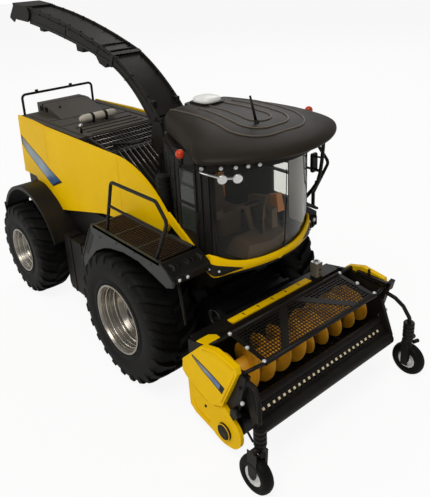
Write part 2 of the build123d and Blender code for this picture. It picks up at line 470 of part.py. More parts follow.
def chassis_frame():
    """Two rails with cross members, a counterweight and a hitch clevis at the rear."""
    frame = Part()
    for low, high in ((-RAIL_OUT, -RAIL_IN), (RAIL_IN, RAIL_OUT)):
        frame += block(RAIL_REAR, RAIL_FRONT, low, high, RAIL_LOW, RAIL_HIGH)
    for x in CROSS_AT:
        frame += block(x, x + CROSS_WIDTH, -RAIL_OUT, RAIL_OUT, RAIL_LOW, RAIL_HIGH)
    frame += slab(-WEIGHT_HALF, WEIGHT_HALF, *from_point((RAIL_REAR, RAIL_HIGH), WEIGHT_EDGE))
    low, high = RAIL_LOW - HITCH_BELOW, RAIL_LOW - HITCH_BELOW + HITCH_DEPTH
    hitch = block(RAIL_REAR - HITCH_REACH, RAIL_REAR + HITCH_EAR, -HITCH_HALF, HITCH_HALF, low, high)
    hitch -= block(
        RAIL_REAR - HITCH_REACH, RAIL_REAR - HITCH_WEB, -HITCH_HALF, HITCH_HALF, low + HITCH_EAR,
        high - HITCH_EAR,
    )
    hitch -= column(RAIL_REAR - HITCH_PIN, 0, HITCH_BORE_R, low - 1, high + 1)
    frame += hitch
    pivot_x, pivot_z = LIFT_PIVOT
    return frame - cross_bar(pivot_x, pivot_z, LIFT_PIN_R + RUN, RAIL_OUT + 1)


def front_axle():
    """Beam under the rails, with a hub flange and a spindle for each front wheel."""
    z, half = FRONT.radius, FRONT_BEAM / 2
    flange = FRONT_BEAM_HALF + HUB_FLANGE_T
    boss = FRONT.face - FRONT.dish - RIM_DISC - GAP
    axle = block(FRONT.x - half, FRONT.x + half, -FRONT_BEAM_HALF, FRONT_BEAM_HALF, z - half, RAIL_LOW)
    for side in (-1, 1):
        axle += disc(FRONT.x, z, HUB_FLANGE_R, side * FRONT_BEAM_HALF, side * flange)
        axle += disc(FRONT.x, z, HUB_BOSS_R, side * flange, side * boss)
        axle += disc(FRONT.x, z, SPINDLE_R, side * FRONT_BEAM_HALF, side * spindle_end(FRONT))
    return axle


def rear_axle():
    """Beam on a middle pivot block, with a vertical eye at each end for a kingpin."""
    half, x = REAR_BEAM_DEPTH / 2, REAR.x
    axle = block(x - half, x + half, -KINGPIN_Y, KINGPIN_Y, REAR_BEAM_LOW, REAR_BEAM_HIGH)
    pivot = PIVOT_BLOCK_HALF
    axle += block(x - pivot, x + pivot, -RAIL_OUT, RAIL_OUT, REAR_BEAM_HIGH, RAIL_LOW)
    for side in (-1, 1):
        axle += column(x, side * KINGPIN_Y, KNUCKLE_EYE_R, REAR_BEAM_LOW, REAR_BEAM_HIGH)
    for side in (-1, 1):
        axle -= column(x, side * KINGPIN_Y, KINGPIN_R + RUN, REAR_BEAM_LOW - 1, REAR_BEAM_HIGH + 1)
    return axle


def knuckle_right():
    """Forked knuckle round the beam's eye, with its kingpin, stub axle and steering arm."""
    x, y = REAR.x, -KINGPIN_Y
    high, low = REAR_BEAM_HIGH + GAP, REAR_BEAM_LOW - GAP
    top, foot = high + KNUCKLE_PLATE, low - KNUCKLE_PLATE
    x0, x1 = x - KNUCKLE_HALF, x + KNUCKLE_HALF
    web_in = y - KNUCKLE_EYE_R - GAP
    web_out = web_in - KNUCKLE_PLATE
    body = block(x0, x1, web_out, y, high, top) + block(x0, x1, web_out, y, foot, low)
    body += block(x0, x1, web_out, web_in, foot, top)
    body += column(x, y, KINGPIN_R, foot, top)
    body += disc(x, REAR.radius, SPINDLE_R, web_in, -spindle_end(REAR))
    pin_x = x - STEER_ARM
    arm = plate(
        foot, low, (x - ARM_ROOT_X, y - ARM_ROOT_Y), (pin_x - TIE_EYE_R, y - TIE_EYE_R),
        (pin_x - TIE_EYE_R, y + TIE_EYE_R),
        (x - ARM_ROOT_X, y),
    )
    return body + arm + column(pin_x, y, TIE_PIN_R, foot - TIE_ROD_T - 2 * GAP, foot)


def tie_rod():
    """Flat link under the steering arms, with an eye for the pin of each."""
    x = REAR.x - STEER_ARM
    top = REAR_BEAM_LOW - GAP - KNUCKLE_PLATE - GAP
    low = top - TIE_ROD_T
    link = block(x - TIE_ROD_W / 2, x + TIE_ROD_W / 2, -KINGPIN_Y, KINGPIN_Y, low, top)
    for side in (-1, 1):
        link += column(x, side * KINGPIN_Y, TIE_EYE_R, low, top)
    for side in (-1, 1):
        link -= column(x, side * KINGPIN_Y, TIE_PIN_R + RUN, low - 1, top + 1)
    return link


# Body

def tyre_cut(w, extra):
    """Cylinder round a wheel, to cut what must stay clear of it."""
    return cross_bar(w.x, w.radius, w.radius + extra, w.face + extra)


def fender_cut():
    """Cylinder just outside the rear fender, to cut the body round it."""
    return cross_bar(FENDER_X, FENDER_Z, FENDER_R + SEAT, FENDER_OUT)


def body_core():
    """Black inner body under the deck and screens, with the skirts below the side panels."""
    core = slab(
        -CORE_HALF, CORE_HALF, (CORE_REAR, WELL_TOP), (CORE_REAR, DECK_Z), (SCREEN_TOP_X, DECK_Z),
        (SCREEN_BEND_X, SCREEN_BEND_Z), (SCREEN_END_X, SCREEN_END_Z), (CORE_FRONT, CORE_NOSE_Z),
        (CORE_FRONT, RAIL_HIGH), (WELL_FRONT, RAIL_HIGH), (WELL_REAR, WELL_TOP),
    )
    skirt = slab(-CORE_HALF, -PANEL_FACE + PANEL_T, *SKIRT)
    skirt -= tyre_cut(FRONT, ARCH_CLEAR)
    skirt -= fender_cut()
    pedestal = column(TURRET_X, 0, TURRET_R - PEDESTAL_IN, CORE_NOSE_Z, TURRET_Z - GAP)
    inner = STACK_Y + STACK_SHELF_OUT
    back, ahead = CORE_FRONT - CORE_LAP, CORE_FRONT + CORE_LAP
    shelf = block(back, STACK_X + STACK_R, -CORE_HALF, inner, STACK_FOOT - STACK_SHELF_T, STACK_FOOT)
    shelf += block(back, ahead, -CORE_HALF, inner, RAIL_HIGH, STACK_FOOT)
    core = core + skirt + left_of(skirt) + pedestal + shelf
    return core - column(TURRET_X, 0, SPIGOT_R + RUN, TURRET_Z - SPIGOT - 2.0, TURRET_Z)


def side_panel_right():
    """Moulded side panel: a flat front part and a rear part that leans in, split at the seam."""
    face, inside = -PANEL_FACE, -PANEL_FACE + PANEL_T
    top, low, seam = PANEL_TOP, PANEL_TOP - PANEL_DEPTH, SEAM_GAP / 2
    front = slab(
        face, inside, (SEAM_X + seam, low), (SEAM_X + seam, top), *above(top, PANEL_FRONT_EDGE),
    )
    front -= block(SEAM_2_X - seam, SEAM_2_X + seam, face, face + SEAM_2_DEPTH, low, top)
    reach = hypot(PANEL_REAR_X - SEAM_X, PANEL_FACE - PANEL_REAR_Y)
    lean = degrees(atan2(PANEL_FACE - PANEL_REAR_Y, SEAM_X - PANEL_REAR_X))
    end = SEAM_X - reach
    rear = slab(
        face, inside, (SEAM_X - seam, low), (SEAM_X - seam, top), (end + PANEL_CORNER, top),
        (end, top - PANEL_CORNER),
        (end - PANEL_FOOT_LEAN, top - PANEL_REAR_DEPTH), *above(top, PANEL_ARCH),
    )
    hinge = Pos(SEAM_X, face, 0)
    rear = hinge * Rot(0, 0, -lean) * hinge.inverse() * rear
    bridge = block(
        SEAM_X - SEAM_BRIDGE, SEAM_X + SEAM_BRIDGE, face + PANEL_T / 2, inside, low + 2 * SEAM_BRIDGE,
        top - 2 * SEAM_BRIDGE,
    )
    panel = front + rear + bridge - fender_cut() - tyre_cut(FRONT, ARCH_CLEAR)
    return panel & block(CORE_REAR - 10, CAB_NOSE_X, -2 * PANEL_FACE, -CORE_HALF - SEAT, 0, 2 * PANEL_TOP)


def engine_deck():
    """Deck plate with cross ribs, side tiles, an intake hood at the rear and a small post."""
    top = DECK_TOP
    deck = block(CORE_REAR, SCREEN_TOP_X, -CORE_HALF, CORE_HALF, DECK_Z, top)
    for x in DECK_RIBS:
        deck += block(x, x + DECK_RIB_W, -DECK_RIB_HALF, DECK_RIB_HALF, top, top + DECK_RIB_H)
    for side in (-1, 1):
        y0, y1 = side * DECK_EDGE_Y - DECK_EDGE_W / 2, side * DECK_EDGE_Y + DECK_EDGE_W / 2
        deck += block(DECK_EDGE_REAR, SCREEN_TOP_X, y0, y1, top, top + DECK_RIB_H)
    hood = slab(-HOOD_HALF, HOOD_HALF, *above(top, HOOD))
    vent_low = top + VENT_FOOT
    for x in HOOD_VENTS:
        for side in (-1, 1):
            y = side * HOOD_HALF
            hood -= block(x, x + VENT_W, y - VENT_DEPTH, y + VENT_DEPTH, vent_low, vent_low + VENT_H)
    x, y = KNOB_AT
    post = column(x, y, KNOB_POST_R, top, top + KNOB_POST)
    return deck + hood + post + Pos(x, y, top + KNOB_POST + KNOB_R / 2) * Sphere(KNOB_R)


def screen_bars(x_from, z_from, x_to, z_to, pitch, bar):
    """Bars in a frame on a sloping face of the body."""
    length = hypot(x_to - x_from, z_to - z_from)
    slope = degrees(atan2(z_from - z_to, x_to - x_from))
    inside = SCREEN_HALF - SCREEN_EDGE
    frame = Box(length, 2 * SCREEN_HALF, SCREEN_T) - Box(length - 2 * SCREEN_EDGE, 2 * inside, SCREEN_T)
    count = int(2 * inside / pitch)
    bars = []
    for i in range(1, count):
        bars.append(Pos(0, -inside + i * 2 * inside / count, 0) * Box(length, bar, SCREEN_T - 2 * SCREEN_INSET))
    middle = ((x_from + x_to) / 2, 0, (z_from + z_to) / 2)
    return Pos(*middle) * Rot(0, slope, 0) * Pos(0, 0, SCREEN_T / 2) * frame.fuse(*bars)


def radiator_screen():
    """Fine grid on the deck's front slope and coarser bars below it, cut round the spout's ring."""
    upper = screen_bars(SCREEN_TOP_X, DECK_Z, SCREEN_BEND_X, SCREEN_BEND_Z, UPPER_PITCH, UPPER_BAR)
    lower = screen_bars(SCREEN_BEND_X, SCREEN_BEND_Z, SCREEN_END_X, SCREEN_END_Z, LOWER_PITCH, LOWER_BAR)
    return upper + lower - column(TURRET_X, 0, TURRET_R + GAP, CORE_NOSE_Z, TURRET_Z + TURRET_T)


def air_tank():
    """Round tank lying across the deck, in two straps."""
    x, z, r, half = TANK_X, DECK_TOP + TANK_LIFT, TANK_R, TANK_HALF
    ends = tuple((-half + along, r * share) for along, share in TANK_END)
    profile = ends + tuple((-y, radius) for y, radius in reversed(ends))
    tank = Pos(0, TANK_Y, 0) * turned(x, z, *profile)
    for y in (TANK_Y - STRAP_Y, TANK_Y + STRAP_Y):
        tank += disc(x, z, r + STRAP_T, y - STRAP_HALF, y + STRAP_HALF)
        tank += block(x - r / 2, x + r / 2, y - STRAP_HALF, y + STRAP_HALF, DECK_TOP, z)
    return tank


def rear_rail():
    """Bent wire rail at the rear edge of the deck, with two hooks."""
    x, y, low, high = REAR_RAIL_X, REAR_RAIL_Y, DECK_TOP, DECK_TOP + REAR_RAIL_HIGH
    rail = wire([(x, -y, low), (x, -y, high), (x, y, high), (x, y, low)], WIRE_R, REAR_RAIL_BEND)
    for hook_y in RAIL_HOOKS:
        y0, y1 = hook_y - HOOK_HALF, hook_y + HOOK_HALF
        rail += block(x - HOOK_HALF / 2, x + HOOK_HALF / 2, y0, y1, high, high + HOOK_HIGH)
    return rail


def rear_fender_right():
    """Arched mudguard over the steered wheel, seated on the body's side."""
    start, end = radians(FENDER_FROM), radians(FENDER_TO)
    middle = (start + end) / 2

    def at(radius, angle):
        return (FENDER_X + radius * cos(angle), FENDER_Z + radius * sin(angle))

    def arch(y_from, y_to, inner, outer):
        return slab(
            y_from, y_to, at(inner, start), (at(inner, middle), at(inner, end)), at(outer, end),
            (at(outer, middle), at(outer, start)),
        )

    band = arch(-CORE_HALF, -FENDER_OUT, FENDER_R - FENDER_T, FENDER_R)
    return band + arch(-FENDER_OUT, -FENDER_OUT + FENDER_LIP, FENDER_R - FENDER_T - FENDER_LIP, FENDER_R)


def platform_right():
    """Grated platform with the wheel skirt under its outer edge and a nose beam in front."""
    low, high, out = PLATFORM_Z - PLATFORM_T, PLATFORM_Z, PLATFORM_OUT
    inner = PANEL_FACE + PLATFORM_GAP
    deck = block(PLATFORM_REAR, PLATFORM_FRONT, -out, -inner, low, high)
    for i in range(GRATE_SLOT_COUNT):
        x = PLATFORM_REAR + GRATE_EDGE + i * GRATE_PITCH
        deck -= block(x, x + GRATE_SLOT, -out + GRATE_RIM, -inner - GRATE_EDGE, low - 1, high + 1)
    apron = slab(-out, -out + APRON_T, (PLATFORM_REAR, high), *above(high, APRON))
    apron -= tyre_cut(FRONT, ARCH_CLEAR)
    nose = slab(-out + APRON_T, -BESIDE_CAB - SEAT, *above(high, NOSE))
    shelf = block(SHELF_X, PLATFORM_FRONT, -inner, -BESIDE_CAB, low, high)
    shelf += block(SHELF_X, SHELF_END, -inner - GRATE_RIM, -CAB_HALF - SEAT, low - SHELF_DEPTH, low)
    face_x = NOSE[2][0]
    lamps = Part()
    for y in NOSE_LAMPS:
        z = high - NOSE_LAMP_DROP
        lamps += rod((face_x, y, z), (face_x + NOSE_LAMP_T, y, z), NOSE_LAMP_R)
    (x0, z0), (x1, z1) = above(high, (STRUT_TOP, STRUT_FOOT))
    strut = rod((x0, -STRUT_Y, z0), (x1, -STRUT_Y, z1), STRUT_R)
    return deck + apron + nose + shelf + lamps + strut


def handrail_right():
    """Wire handrail round the outer edge of the platform."""
    low = PLATFORM_Z + HANDRAIL_SEAT
    points = [(x, -HANDRAIL_Y, z) for x, z in above(low, HANDRAIL)]
    (x0, z0), (x1, z1) = above(low, MID_BAR)
    rail = wire(points, WIRE_R, HANDRAIL_BEND)
    return rail + rod((x0, -HANDRAIL_Y, z0), (x1, -HANDRAIL_Y, z1), WIRE_R * 0.8)


# Cab

def cab_plan(inset, z):
    """Cab outline at one height: narrow rear, straight sides and a bowed front."""
    rear_x, rear_y = CAB_REAR_X + inset, CAB_REAR_HALF - inset * 0.6
    side_x, side_y = CAB_SIDE_X + inset * 0.3, CAB_HALF - inset
    return plan_face(
        z, (rear_x, -rear_y), (side_x, -side_y), (CAB_PILLAR_X, -side_y),
        ((CAB_NOSE_X - inset, 0), (CAB_PILLAR_X, side_y)), (side_x, side_y), (rear_x, rear_y),
    )


def cab_floor():
    """Cab floor on its pedestal over the chassis rails, closed in front."""
    low = CAB_FLOOR - FLOOR_T
    floor = extrude(cab_plan(0, low), amount=FLOOR_T, dir=(0, 0, 1))
    base = slab(
        -CAB_BASE_HALF, CAB_BASE_HALF, (CORE_FRONT, RAIL_HIGH), (CORE_FRONT, low), (CAB_BASE_X, low),
        *above(RAIL_HIGH, CAB_BASE), (CAB_BASE[-1][0], RAIL_HIGH),
    )
    return floor + base


def cab_frame():
    """Hollow cab walls and pillars with the window openings cut."""
    walls = extrude(cab_plan(0, CAB_FLOOR), amount=CAB_HEIGHT, dir=(0, 0, 1))
    walls -= extrude(cab_plan(CAB_WALL, CAB_FLOOR), amount=CAB_HEIGHT, dir=(0, 0, 1))
    out, ahead = CAB_HALF + 1, CAB_NOSE_X + 1
    walls -= block(CAB_PILLAR_X + PILLAR_EDGE, ahead, -out, out, CAB_FLOOR + SILL, WINDOW_TOP)
    x0, x1 = CAB_SIDE_X + SIDE_WINDOW_REAR, CAB_PILLAR_X - SIDE_WINDOW_FRONT
    walls -= block(x0, x1, -out, out, CAB_FLOOR + SIDE_SILL, SIDE_BAR_LOW)
    walls -= block(x0, x1, -out, out, SIDE_BAR_LOW + SIDE_BAR, SIDE_WINDOW_TOP)
    half = REAR_WINDOW_HALF
    return walls - block(-1, CAB_REAR_X + 2 * CAB_WALL, -half, half, CAB_FLOOR + REAR_WINDOW_SILL, WINDOW_TOP)


def windscreen():
    """One-piece bowed windscreen between the front pillars."""
    low, high = CAB_FLOOR + SILL + GLASS_FIT, WINDOW_TOP - GLASS_FIT
    pane = extrude(cab_plan(GLASS_INSET, low), amount=high - low, dir=(0, 0, 1))
    pane -= extrude(cab_plan(GLASS_INSET + GLASS_T, low), amount=high - low, dir=(0, 0, 1))
    return pane & block(CAB_PILLAR_X + PILLAR_EDGE + GLASS_FIT, CAB_NOSE_X + 1, -CAB_HALF, CAB_HALF, low, high)


def side_glass():
    """Side panes, one above the other, and the rear pane."""
    fit, out = GLASS_FIT, CAB_HALF - GLASS_INSET
    x0, x1 = CAB_SIDE_X + SIDE_WINDOW_REAR + fit, CAB_PILLAR_X - SIDE_WINDOW_FRONT - fit
    panes = Part()
    for side in (-1, 1):
        low_y, high_y = sorted((side * out, side * (out - GLASS_T)))
        panes += block(x0, x1, low_y, high_y, CAB_FLOOR + SIDE_SILL + fit, SIDE_BAR_LOW - fit)
        panes += block(x0, x1, low_y, high_y, SIDE_BAR_LOW + SIDE_BAR + fit, SIDE_WINDOW_TOP - fit)
    x, half = CAB_REAR_X + GLASS_INSET, REAR_WINDOW_HALF - fit
    return panes + block(x, x + GLASS_T, -half, half, CAB_FLOOR + REAR_WINDOW_SILL + fit, WINDOW_TOP - fit)


def roof_section(height, rear_x, rear_y, side_x, side_y, wing_x, wing_y, nose_x):
    return plan_face(
        CAB_TOP + height, (rear_x, -rear_y), (side_x, -side_y), (wing_x - WING_BACK, -wing_y),
        (wing_x, -wing_y + WING_IN), ((nose_x, 0), (wing_x, wing_y - WING_IN)), (wing_x - WING_BACK, wing_y),
        (side_x, side_y), (rear_x, rear_y),
    )


def cab_roof():
    """Roof cap with its swept visor, the dome on its base and an antenna."""
    faces = [roof_section(*row) for row in ROOF]
    layers = [loft([lower, upper], ruled=True) for lower, upper in zip(faces, faces[1:])]
    roof = layers[0].fuse(*layers[1:])
    crown = CAB_TOP + ROOF[-1][0]
    x, y = DOME_AT
    roof += column(x, y, DOME_BASE_R, crown - DOME_SINK, crown + DOME_BASE_T)
    dome = Cone(DOME_R, DOME_TOP_R, DOME_H, align=(Align.CENTER, Align.CENTER, Align.MIN))
    roof += Pos(x, y, crown + DOME_BASE_T) * dome
    (foot_x, foot_z), (tip_x, tip_z) = above(CAB_TOP, (ANTENNA_FOOT, ANTENNA_TIP))
    return roof + rod((foot_x, ANTENNA_Y, foot_z), (tip_x, ANTENNA_Y, tip_z), ANTENNA_R)


def lamp_bar():
    """Curved bar under the visor with its row of round lamps and a beacon bracket at each end."""
    end, half, nose, t = LAMP_BAR_END, LAMP_BAR_HALF, LAMP_BAR_NOSE, LAMP_BAR_T
    bar = plate(
        CAB_TOP - LAMP_BAR_H, CAB_TOP, (end, -half), ((nose, 0), (end, half)), (end, half - t),
        ((nose - t, 0), (end, -half + t)),
    )
    x, y = BEACON_AT
    for side in (-1, 1):
        start = (end + BRACKET_IN[0], side * (half - BRACKET_IN[1]), LAMP_Z)
        bar += rod(start, (x, side * y, LAMP_Z), BRACKET_R)
        bar += column(x, side * y, BEACON_POST_R, LAMP_Z - BRACKET_DROP, CAB_TOP + BEACON_SEAT)
    return bar


def work_lamps():
    """Round lamps along the front of the lamp bar."""
    depth = LAMP_BAR_NOSE - LAMP_BAR_END
    bow = (LAMP_BAR_HALF ** 2 + depth ** 2) / (2 * depth)
    centre = LAMP_BAR_NOSE - bow
    shape = Rot(0, 90, 0) * Cylinder(LAMP_R, LAMP_T, align=(Align.CENTER, Align.CENTER, Align.MIN))
    lamps = Part()
    for across in LAMP_AT:
        for y in (-across, across):
            angle = degrees(atan2(y, (bow ** 2 - y ** 2) ** 0.5))
            lamps += Pos(centre, 0, LAMP_Z) * Rot(0, 0, angle) * Pos(bow + 2 * SEAT, 0, 0) * shape
    return lamps


def beacons():
    """Round beads on the beacon posts, cut flat underneath."""
    x, y = BEACON_AT
    low = CAB_TOP + BEACON_SEAT
    beads = Part()
    for side in (-1, 1):
        beads += Pos(x, side * y, low + BEACON_R) * Sphere(BEACON_R)
    return beads & block(x - 2 * BEACON_R, x + 2 * BEACON_R, -2 * y, 2 * y, low + SEAT, low + 3 * BEACON_R)


def mirrors():
    """Right: rod with two round mirrors. Left: bent arm with a mirror head. Both start at the lamp bar."""
    x, y, z = ARM_END_X, ARM_END_Y, CAB_TOP - ARM_DROP
    head_z = CAB_TOP - MIRROR_DROP
    (x0, y0), (x1, y1) = ROUND_MIRRORS
    bend = (x + ROD_STEP[0], -y - ROD_STEP[1], z)
    right = wire([(x, -y, z), bend, (x0 + MIRROR_T / 2, y0, head_z)], MIRROR_ROD_R, ROD_BEND)
    right += rod((x0, y0, head_z), (x1, y1, head_z), MIRROR_ROD_R)
    for head_x, head_y in ROUND_MIRRORS:
        front = (head_x + MIRROR_T, head_y - MIRROR_TURN, head_z - MIRROR_TILT)
        right += rod((head_x, head_y, head_z), front, MIRROR_R)
    left = wire([(x, y, z)] + [(px, py, CAB_TOP + down) for px, py, down in LOOP_ARM], LOOP_R, ROD_BEND)
    head_x, thick, wide, tall, low = LOOP_HEAD
    loop_y = LOOP_ARM[1][1]
    low += CAB_TOP
    left += block(head_x - thick, head_x, loop_y - wide / 2, loop_y + wide / 2, low, low + tall)
    for down, arm_x in LOOP_STAYS:
        left += rod((head_x - thick / 2, loop_y, CAB_TOP + down), (arm_x, loop_y, CAB_TOP + down), LOOP_R * 0.8)
    return right + left


def cab_interior():
    """Seat on its box, with armrest console and steering wheel on a column."""
    floor = CAB_FLOOR
    seat = block(*SEAT_BOX, -SEAT_HALF, SEAT_HALF, floor, floor + SEAT_Z)
    seat += slab(-SEAT_HALF + CUSHION_IN, SEAT_HALF - CUSHION_IN, *above(floor, SEAT_EDGE))
    (x0, x1), (y0, y1), (z0, z1) = CONSOLE
    seat += block(x0, x1, y0, y1, floor + z0, floor + z1)
    (x0, x1), (y0, y1) = CONSOLE_LEG
    seat += block(x0, x1, y0, y1, floor, floor + z0)
    top_x, top_z = COLUMN_TOP
    lean = Plane(origin=(top_x, 0, floor + top_z), z_dir=(top_x - COLUMN_FOOT_X, 0, top_z))
    stem = rod((COLUMN_FOOT_X, 0, floor), (top_x, 0, floor + top_z), COLUMN_R)
    stem -= block(top_x, CAB_NOSE_X, -SEAT_HALF, SEAT_HALF, floor - FLOOR_T, floor)
    wheel = Cylinder(STEERING_R, STEERING_T) - Cylinder(STEERING_R - WHEEL_GRIP, STEERING_T)
    wheel += Box(2 * STEERING_R - WHEEL_GRIP, SPOKE_W, STEERING_T - 2 * SEAT) + Cylinder(WHEEL_HUB_R, STEERING_T)
    return seat + stem + lean * wheel


def nose_arc(offset, half):
    """Three points on the cab's bowed front, moved out by an offset, between y = -half and half."""
    depth = CAB_NOSE_X - CAB_PILLAR_X
    bow = (CAB_HALF ** 2 + depth ** 2) / (2 * depth)
    x = CAB_NOSE_X - bow + ((bow + offset) ** 2 - half ** 2) ** 0.5
    return (x, -half), (CAB_NOSE_X + offset, 0.0), (x, half)


def cab_belt():
    """Painted belt round the cab's front, deep at its corners, and a strip up each side of the cab."""
    out, inside, back = BELT_T + SEAT, SEAT, BELT_BACK_X
    a, b, c = nose_arc(out, CAB_HALF + out)
    d, e, f = nose_arc(inside, CAB_HALF + inside)
    low, high = CAB_FLOOR - 2 * FLOOR_DROP, PLATFORM_Z
    ring = plate(low, high, (back, a[1]), a, (b, c), (back, c[1]), (back, f[1]), f, (e, d), (back, d[1]))
    belt = ring & slab(-2 * CAB_HALF, 2 * CAB_HALF, *above(CAB_FLOOR, BELT_EDGE))
    flash = slab(-CAB_HALF - SEAT, -CAB_HALF - SEAT - BELT_T, *above(CAB_FLOOR, FLASH_EDGE))
    return belt + flash + left_of(flash)


def intake_stack():
    """Upright intake with a ribbed collar beside the cab's slanted rear corner."""
    top = STACK_FOOT + STACK_HEIGHT
    stack = column(STACK_X, STACK_Y, STACK_R, STACK_FOOT, top)
    for drop in STACK_RIBS:
        z = top - drop
        stack += column(STACK_X, STACK_Y, STACK_R + STACK_RIB, z - STACK_RIB_HALF, z + STACK_RIB_HALF)
    return stack


# Spout

def spout_turret():
    """Turning ring with its spigot, two cheeks for the boom's pin and ears for the lift cylinder."""
    px, pz = BOOM_PIVOT
    inner = BOOM_HALF + GAP
    ring_top = TURRET_Z + TURRET_T
    turret = column(TURRET_X, 0, TURRET_R, TURRET_Z, ring_top)
    turret += column(TURRET_X, 0, SPIGOT_R, TURRET_Z - SPIGOT, TURRET_Z + 1.0)
    cheek = slab(-inner, -inner - CHEEK_T, *from_point(BOOM_PIVOT, CHEEK))
    turret += cheek + left_of(cheek)
    turret -= cross_bar(px, pz, BOOM_PIN_R + RUN, 2 * inner)
    foot_x, foot_z = LIFT_AT
    rear = foot_x - EAR_LENGTH / 2
    turret += block(rear, TURRET_X, -LIFT_EAR, LIFT_EAR, TURRET_Z + GAP, TURRET_Z + TURRET_T - 1.0)
    ears = block(rear, rear + EAR_LENGTH, -LIFT_EAR, LIFT_EAR, TURRET_Z + GAP, foot_z + LIFT_FOOT_R)
    ears -= block(
        rear - 1, rear + EAR_LENGTH + 1, -LIFT_EAR_GAP, LIFT_EAR_GAP, TURRET_Z + TURRET_T - 1.0, pz,
    )
    return turret + ears - cross_bar(foot_x, foot_z, LIFT_HINGE_R + RUN, 2 * LIFT_EAR)


def boom_slab(y_from, y_to, top_up=0.0, under_down=0.0):
    """The boom's side outline, with its top or underside moved out, extruded across."""
    top = from_point((0, top_up), BOOM_TOP)
    under = from_point((0, -under_down), BOOM_UNDER)
    return slab(y_from, y_to, *from_point(BOOM_PIVOT, top + under))


def spout_boom():
    """Curved box boom with raised edges, collars and brackets, and the pins it turns and tilts on."""
    px, pz = BOOM_PIVOT
    flange_in = BOOM_HALF - FLANGE_T
    boom = boom_slab(-flange_in, flange_in)
    edge = boom_slab(-BOOM_HALF, -flange_in, FLANGE_UP)
    boom += edge + left_of(edge)
    for x, z, lean in COLLARS:
        band = Pos(px + x, 0, pz + z) * Rot(0, lean, 0) * Box(COLLAR_W, 4 * BOOM_HALF, 4 * BOOM_HALF)
        out = BOOM_HALF + COLLAR_OUT
        boom += boom_slab(-out, out, FLANGE_UP + COLLAR_OUT, COLLAR_OUT) & band
    for half, edge_points in BOOM_BRACKETS:
        boom += slab(-half, half, *from_point(BOOM_PIVOT, edge_points))
    eye_x, eye_z = LIFT_END
    eye = slab(-LIFT_EYE_HALF, LIFT_EYE_HALF, *from_point(BOOM_PIVOT, EYE_PLATE))
    eye -= cross_bar(eye_x, eye_z, LIFT_EYE_R, 2 * LIFT_EYE_HALF)
    boom += eye + cross_bar(px, pz, BOOM_PIN_R, BOOM_HALF + GAP + CHEEK_T)
    return boom + cross_bar(*FLAP_AT, FLAP_PIN_R, BOOM_HALF + GAP + FLAP_WALL)


def along_lift(share_mm):
    """A point on the lift cylinder's line, so many millimetres up from its foot pin."""
    run = Vector(LIFT_END[0] - LIFT_AT[0], 0, LIFT_END[1] - LIFT_AT[1]).normalized()
    return (LIFT_AT[0] + run.X * share_mm, 0, LIFT_AT[1] + run.Z * share_mm)


def lift_barrel():
    """Cylinder barrel on a foot with its cross pin, bored for the rod."""
    x, z = LIFT_AT
    foot = cross_bar(x, z, LIFT_FOOT_R, LIFT_EYE_HALF) + cross_bar(x, z, LIFT_HINGE_R, LIFT_EAR)
    neck = rod(along_lift(1.0), along_lift(BARREL_FROM), LIFT_NECK_R)
    barrel = foot + neck + rod(along_lift(BARREL_FROM), along_lift(BARREL_TO), LIFT_BARREL_R)
    return barrel - rod(along_lift(BORE_FROM), along_lift(BARREL_TO + 1), LIFT_ROD_R + RUN)


def lift_rod():
    """Piston rod, from inside the barrel to just short of the boom's bracket."""
    length = hypot(LIFT_END[0] - LIFT_AT[0], LIFT_END[1] - LIFT_AT[1])
    return rod(along_lift(ROD_FROM), along_lift(length - ROD_SHORT), LIFT_ROD_R)


def deflector():
    """First flap: an inverted channel outside the boom's end, on the boom's cross pin."""
    inner = BOOM_HALF + GAP
    outer = inner + FLAP_WALL
    side = slab(-outer, -inner, *from_point(BOOM_PIVOT, FLAP_SIDE))
    flap = slab(-outer, outer, *from_point(BOOM_PIVOT, FLAP_TOP)) + side + left_of(side)
    for x, z in (FLAP_AT, TIP_AT):
        flap -= cross_bar(x, z, FLAP_PIN_R + RUN, outer + 1)
    return flap


def deflector_tip():
    """Second flap, between the first one's sides, on its own cross pin."""
    half = BOOM_HALF
    side = slab(-half, -half + FLAP_WALL, *from_point(BOOM_PIVOT, TIP_SIDE))
    tip = slab(-half, half, *from_point(BOOM_PIVOT, TIP_TOP)) + side + left_of(side)
    return tip + cross_bar(*TIP_AT, FLAP_PIN_R, half + GAP + FLAP_WALL)


# Header

def feeder_house():
    """Feed housing between the front wheels, hung on its cross pin."""
    px, pz = LIFT_PIVOT
    inner = RAIL_IN - GAP
    tongue = slab(-inner, inner, *from_point(LIFT_PIVOT, TONGUE))
    house = slab(
        -FEED_HALF, FEED_HALF, (FEED_REAR, FEED_LOW), (FEED_REAR, FEED_HIGH),
        (FEED_FRONT, FEED_HIGH - FEED_DROP), (FEED_FRONT, FEED_LOW),
    )
    for x in FEED_RIBS:
        house += block(x, x + FEED_RIB_W, -FEED_HALF, FEED_HALF, FEED_HIGH - FEED_DROP, FEED_HIGH + FEED_RIB_H)
    return tongue + house + cross_bar(px, pz, LIFT_PIN_R, RAIL_OUT)


def header_frame():
    """End walls, back wall with its feed opening, floor pan and top beam."""
    inner = HEADER_HALF - END_T
    end = slab(-HEADER_HALF, -inner, *END_WALL)
    back = block(FEED_FRONT, FEED_FRONT + BACK_T, -inner, inner, FEED_LOW, TOP_BEAM[1][1])
    mouth = FEED_MOUTH_HALF
    back -= block(FEED_FRONT - 1, FEED_FRONT + BACK_T + 1, -mouth, mouth, FEED_MOUTH_LOW, FEED_MOUTH_HIGH)
    pan = slab(-inner, inner, *PAN)
    (x0, x1), (z0, z1) = TOP_BEAM
    return end + left_of(end) + back + pan + block(x0, x1, -inner, inner, z0, z1)


